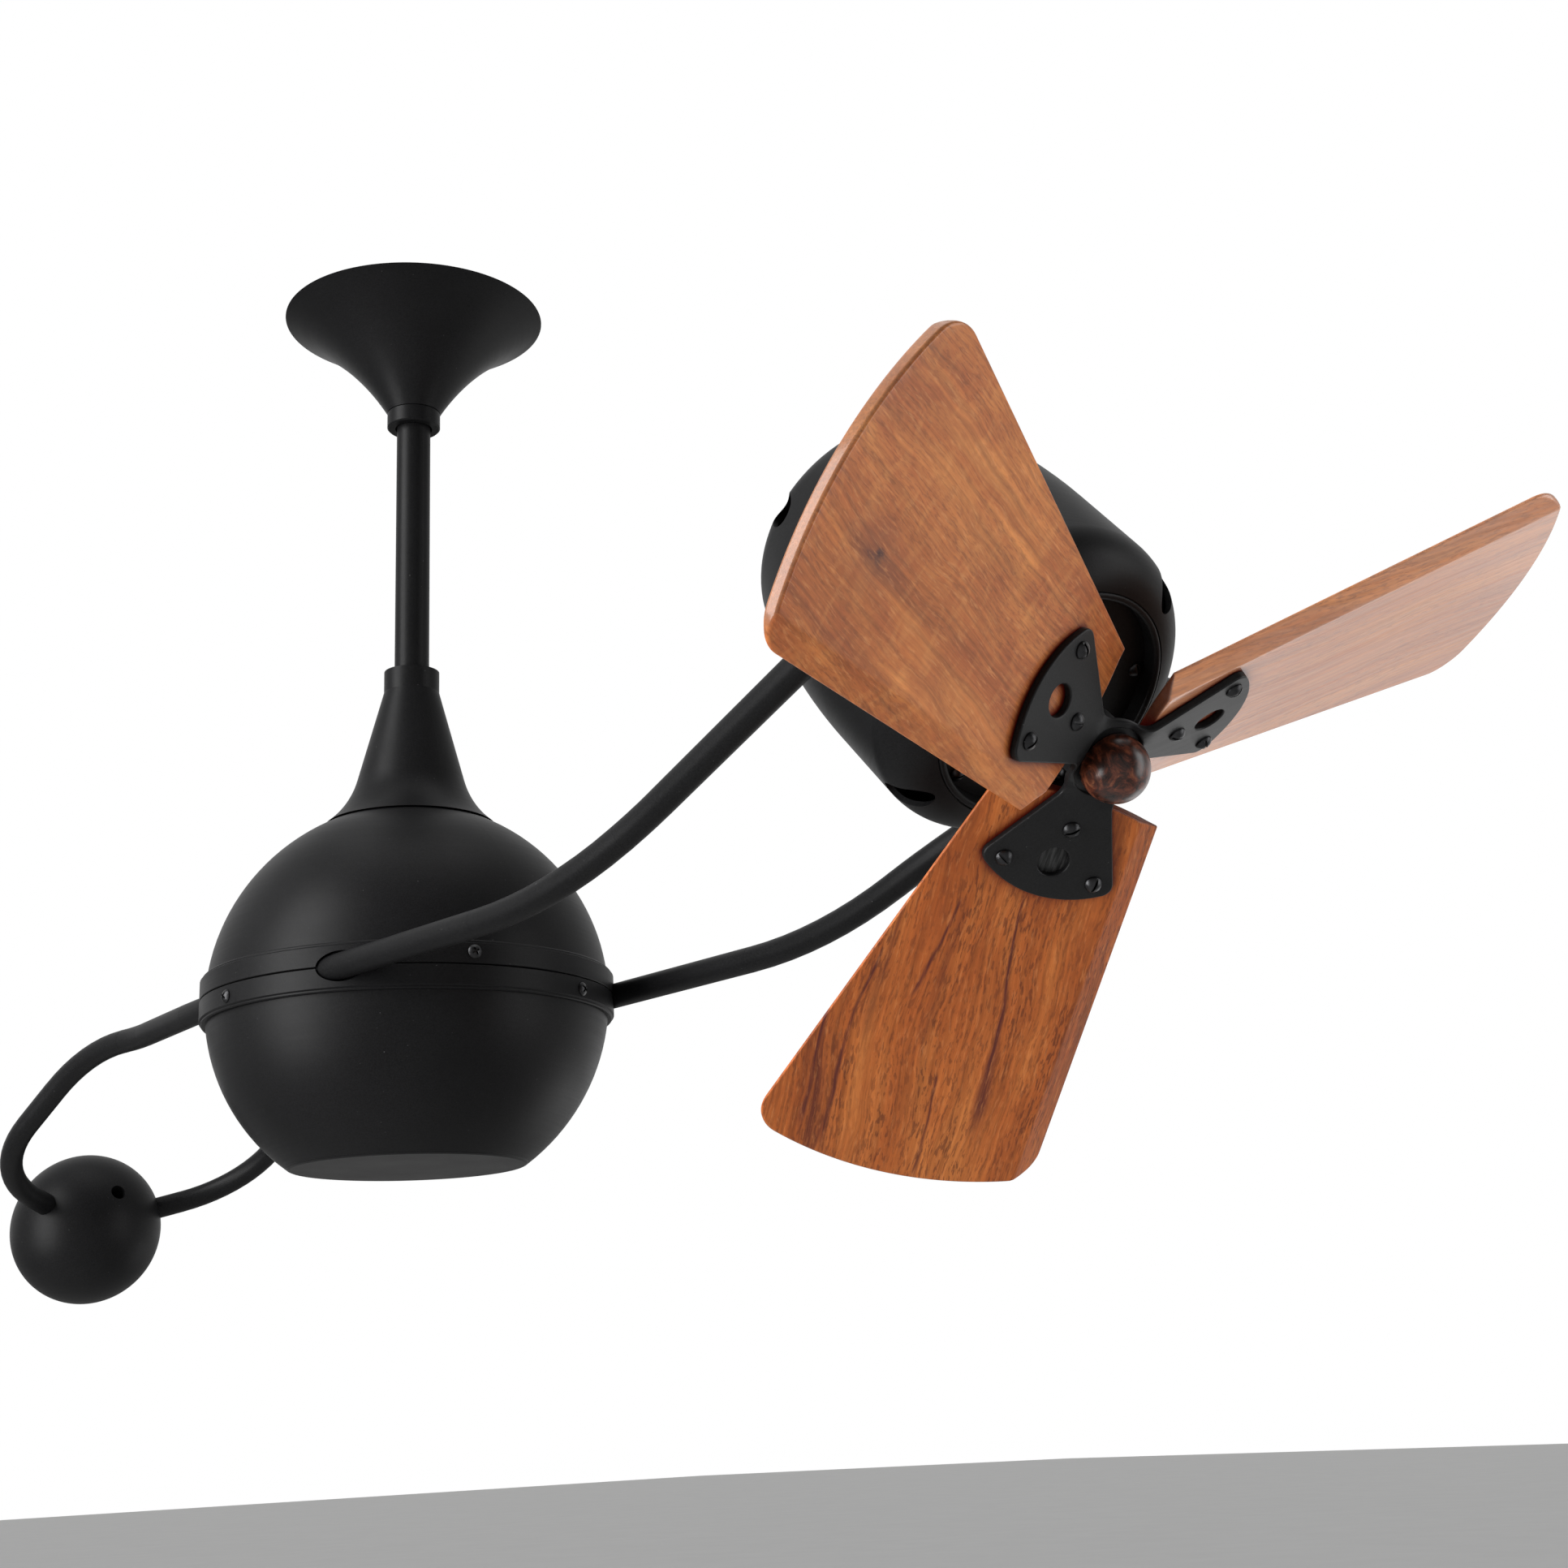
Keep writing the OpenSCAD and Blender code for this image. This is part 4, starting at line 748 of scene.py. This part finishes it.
def driven(radius, high, cross, shank, length):
    """A domed screw with a slot or a cross sunk into its head; z = 0 is the seat"""
    dome = (radius ** 2 + (0.8 * high) ** 2) / (1.6 * high)
    low, width, reach = 0.42 * high, 0.13 * radius, (0.56 if cross else 2.0) * radius

    def height(p):
        z = 0.2 * high + math.sqrt(dome ** 2 - min(p.length, radius) ** 2) - (dome - 0.8 * high)
        x, y = abs(p.x), abs(p.y)
        sunk = y < width and x < reach or cross and x < width and y < reach
        return min(z, low) if sunk else z

    flat = []
    for share, count in ((1, SIDES), (0.985, 40), (0.93, 40), (0.8, 32), (0.6, 24), (0.4, 16), (0.2, 8)):
        flat += [Vector(q) for q in circle(radius * share, count)]
    edges = closed(0, SIDES)
    for upright in ((False, True) if cross else (False,)):
        for y in (-width - SLOT_EASE, -width + SLOT_EASE, width - SLOT_EASE, width + SLOT_EASE):
            end = min(reach, 0.97 * math.sqrt(radius ** 2 - y * y))
            row = [Vector((end * (i / 6 - 1), y)) for i in range(13)]
            row = [Vector((-q.y, q.x)) for q in row] if upright else row
            edges += [(len(flat) + i, len(flat) + i + 1) for i in range(12)]
            flat += row
    points, _, tris, *_ = geometry.delaunay_2d_cdt(flat, edges, [], 0, 1e-5)
    verts = [(p.x, p.y, height(p)) for p in points]
    faces = [tuple(t) for t in tris]
    last = 0
    for r, z in ((radius, 0.0), (shank, -0.02), (shank, -length)):
        start = len(verts)
        verts += [(x, y, z) for x, y in circle(r, SIDES)]
        faces += band(last, start, SIDES)
        last = start
    faces.append(tuple(reversed(range(last, last + SIDES))))
    return verts, faces


def screw_set(name, node, shape, places, base, body):
    """One piece for a node's screws: the shape repeated at each place"""
    verts, faces = [], []
    for place in places:
        append(verts, faces, [tuple((place @ (Vector(v) * MM)) / MM) for v in shape[0]], shape[1])
    solid(name, verts, faces, base, SCREW, body, node, SCREW_SHARP)


PETAL_SCREWS = ((48.3, 18.8), (48.3, -18.8), (29.8, 0))  # as laid out on a flat petal
seats = [turn("Z", PHASE + 120 * k) @ turn("X", PITCH) @ shift(*PETAL_SCREWS[i], 0)
         @ turn("Z", 65 * i + 40 * k) for k in range(3) for i in range(3)]
screw_set("blade_fixings", "blade_screws", driven(3.3, 2.5, False, 1.9, 7.3), seats,
          HEAD @ shift(0, 0, HUB_Z), "rotor")

COVER_SCREW_R, COVER_SCREW_TURN = 42.6, 47
seats = [turn("Z", COVER_SCREW_TURN + a) @ shift(COVER_SCREW_R, 0, COVER_Z) @ turn("Z", 30 + a)
         for a in range(0, 360, 72)]
screw_set("cover_fixings", "cover_screws", driven(3.2, 2.2, False, 1.45, 6), seats, HEAD, "head")

BAND_SCREWS = (((-16.5, 103.5, 223.5), 5.6, 30), ((20, 145, 270), -5.6, 55))  # angles, height, turn
seats = [turn("Z", a) @ turn("Y", 90) @ shift(-z, 0, BAND_R) @ turn("Z", spin)
         for angles, z, spin in BAND_SCREWS for a in angles]
screw_set("band_fixings", "band_screws", driven(3.2, 1.9, True, 1.8, 9.5), seats,
          shift(0, 0, GLOBE_Z), "carousel")

# ---------------------------------------------------------------- knob
CUT = -23  # the ball is cut off this many degrees below its equator
ball = [(KNOB_R * math.cos(math.radians(a)), KNOB_Z + KNOB_R * math.sin(math.radians(a)))
        for a in range(CUT, 91)]
ball[-1] = (0.0, ball[-1][1])
foot = ball[0][0]
base = [(0.0, -1.1), (foot - 1.2, -1.1), (foot - 0.5, -1.05), (foot - 0.1, -0.95)]
verts, faces = lathe(base + ball, 112)
solid("knob", verts, faces, HEAD @ shift(0, 0, HUB_Z), KNOB, "rotor", "spinner", SHARP)

# ---------------------------------------------------------------- floor, light and background
FLOOR_Z, FLOOR_HALF = -2.4, 80.0
corners = [(x * FLOOR_HALF, y * FLOOR_HALF, FLOOR_Z) for x, y in ((-1, -1), (1, -1), (1, 1), (-1, 1))]
mesh = bpy.data.meshes.new("floor")
mesh.from_pydata(corners, [], [(0, 1, 2, 3)])
floor = bpy.data.objects.new("floor", mesh)
scene.collection.objects.link(floor)
pale = Paint("floor")
tone = pale.mix(pale.noise(pale.here, 1.5, 3), (0.66, 0.66, 0.655), (0.60, 0.60, 0.595))
mesh.materials.append(pale.done(tone, pale.line(pale.noise(pale.here, 8, 3), 0.1, 0.6)))

# The camera sees a white background. The object is lit by one that is dark behind the camera
WHITE = (1, 1, 1, 1)
DARK_SIDE, LIT_SIDE = 0.03, 0.9
world = bpy.data.worlds.new("studio")
scene.world = world
world.use_nodes = True
sky = world.node_tree
sky.nodes.clear()
toward = new_node(sky, "ShaderNodeTexCoord").outputs["Generated"]
facing = new_node(sky, "ShaderNodeVectorMath", {0: toward, 1: tuple(ahead)},
                  operation="DOT_PRODUCT").outputs["Value"]
backdrop = new_node(sky, "ShaderNodeMapRange", {0: facing, 1: -0.35, 2: 0.75, 3: DARK_SIDE, 4: LIT_SIDE},
                    interpolation_type="SMOOTHSTEP").outputs[0]
glow = new_node(sky, "ShaderNodeBackground", {"Color": WHITE, "Strength": backdrop}).outputs[0]
plain = new_node(sky, "ShaderNodeBackground", {"Color": WHITE, "Strength": 1.0}).outputs[0]
seen = new_node(sky, "ShaderNodeLightPath").outputs["Is Camera Ray"]
both = new_node(sky, "ShaderNodeMixShader", {0: seen, 1: glow, 2: plain}).outputs[0]
sky.links.new(both, new_node(sky, "ShaderNodeOutputWorld").inputs["Surface"])

LIGHTS = (  # name; metres from the middle: right, away from the camera, up; width and height; watts
    ("key", -1.55, -0.95, 0.3, 1.0, 2.8, 140),
    ("front", 0.4, -2.3, -0.4, 3.2, 3.2, 19),
    ("top", 0.0, -0.1, 1.7, 1.6, 1.2, 13),
    ("right", 1.9, -0.5, 0.1, 0.8, 1.8, 25),
    ("far_right", 1.8, 0.6, -0.45, 1.8, 1.6, 6),
    ("low_right", 1.1, 1.1, -0.85, 0.8, 0.7, 3),
    ("horizon", 1.2, 1.9, -0.45, 1.5, 0.9, 3),
)
side = Vector((right.x, right.y, 0)).normalized()
back = Vector((ahead.x, ahead.y, 0)).normalized()
up = Vector((0, 0, 1))
middle = Vector((0.1, 0, -0.30))
for name, across, away, lift, width, height, power in LIGHTS:
    lamp = bpy.data.lights.new(name, "AREA")
    lamp.shape = "RECTANGLE"
    lamp.size, lamp.size_y = width, height
    lamp.energy = power
    box = bpy.data.objects.new(name, lamp)
    scene.collection.objects.link(box)
    box.visible_camera = False
    box.location = middle + side * across + back * away + up * lift
    box.rotation_mode = "QUATERNION"
    box.rotation_quaternion = (middle - box.location).to_track_quat("-Z", "Y")

scene.view_settings.view_transform = "Standard"
scene.view_settings.look = "None"

# ---------------------------------------------------------------- last update of the scene
bpy.context.view_layer.update()
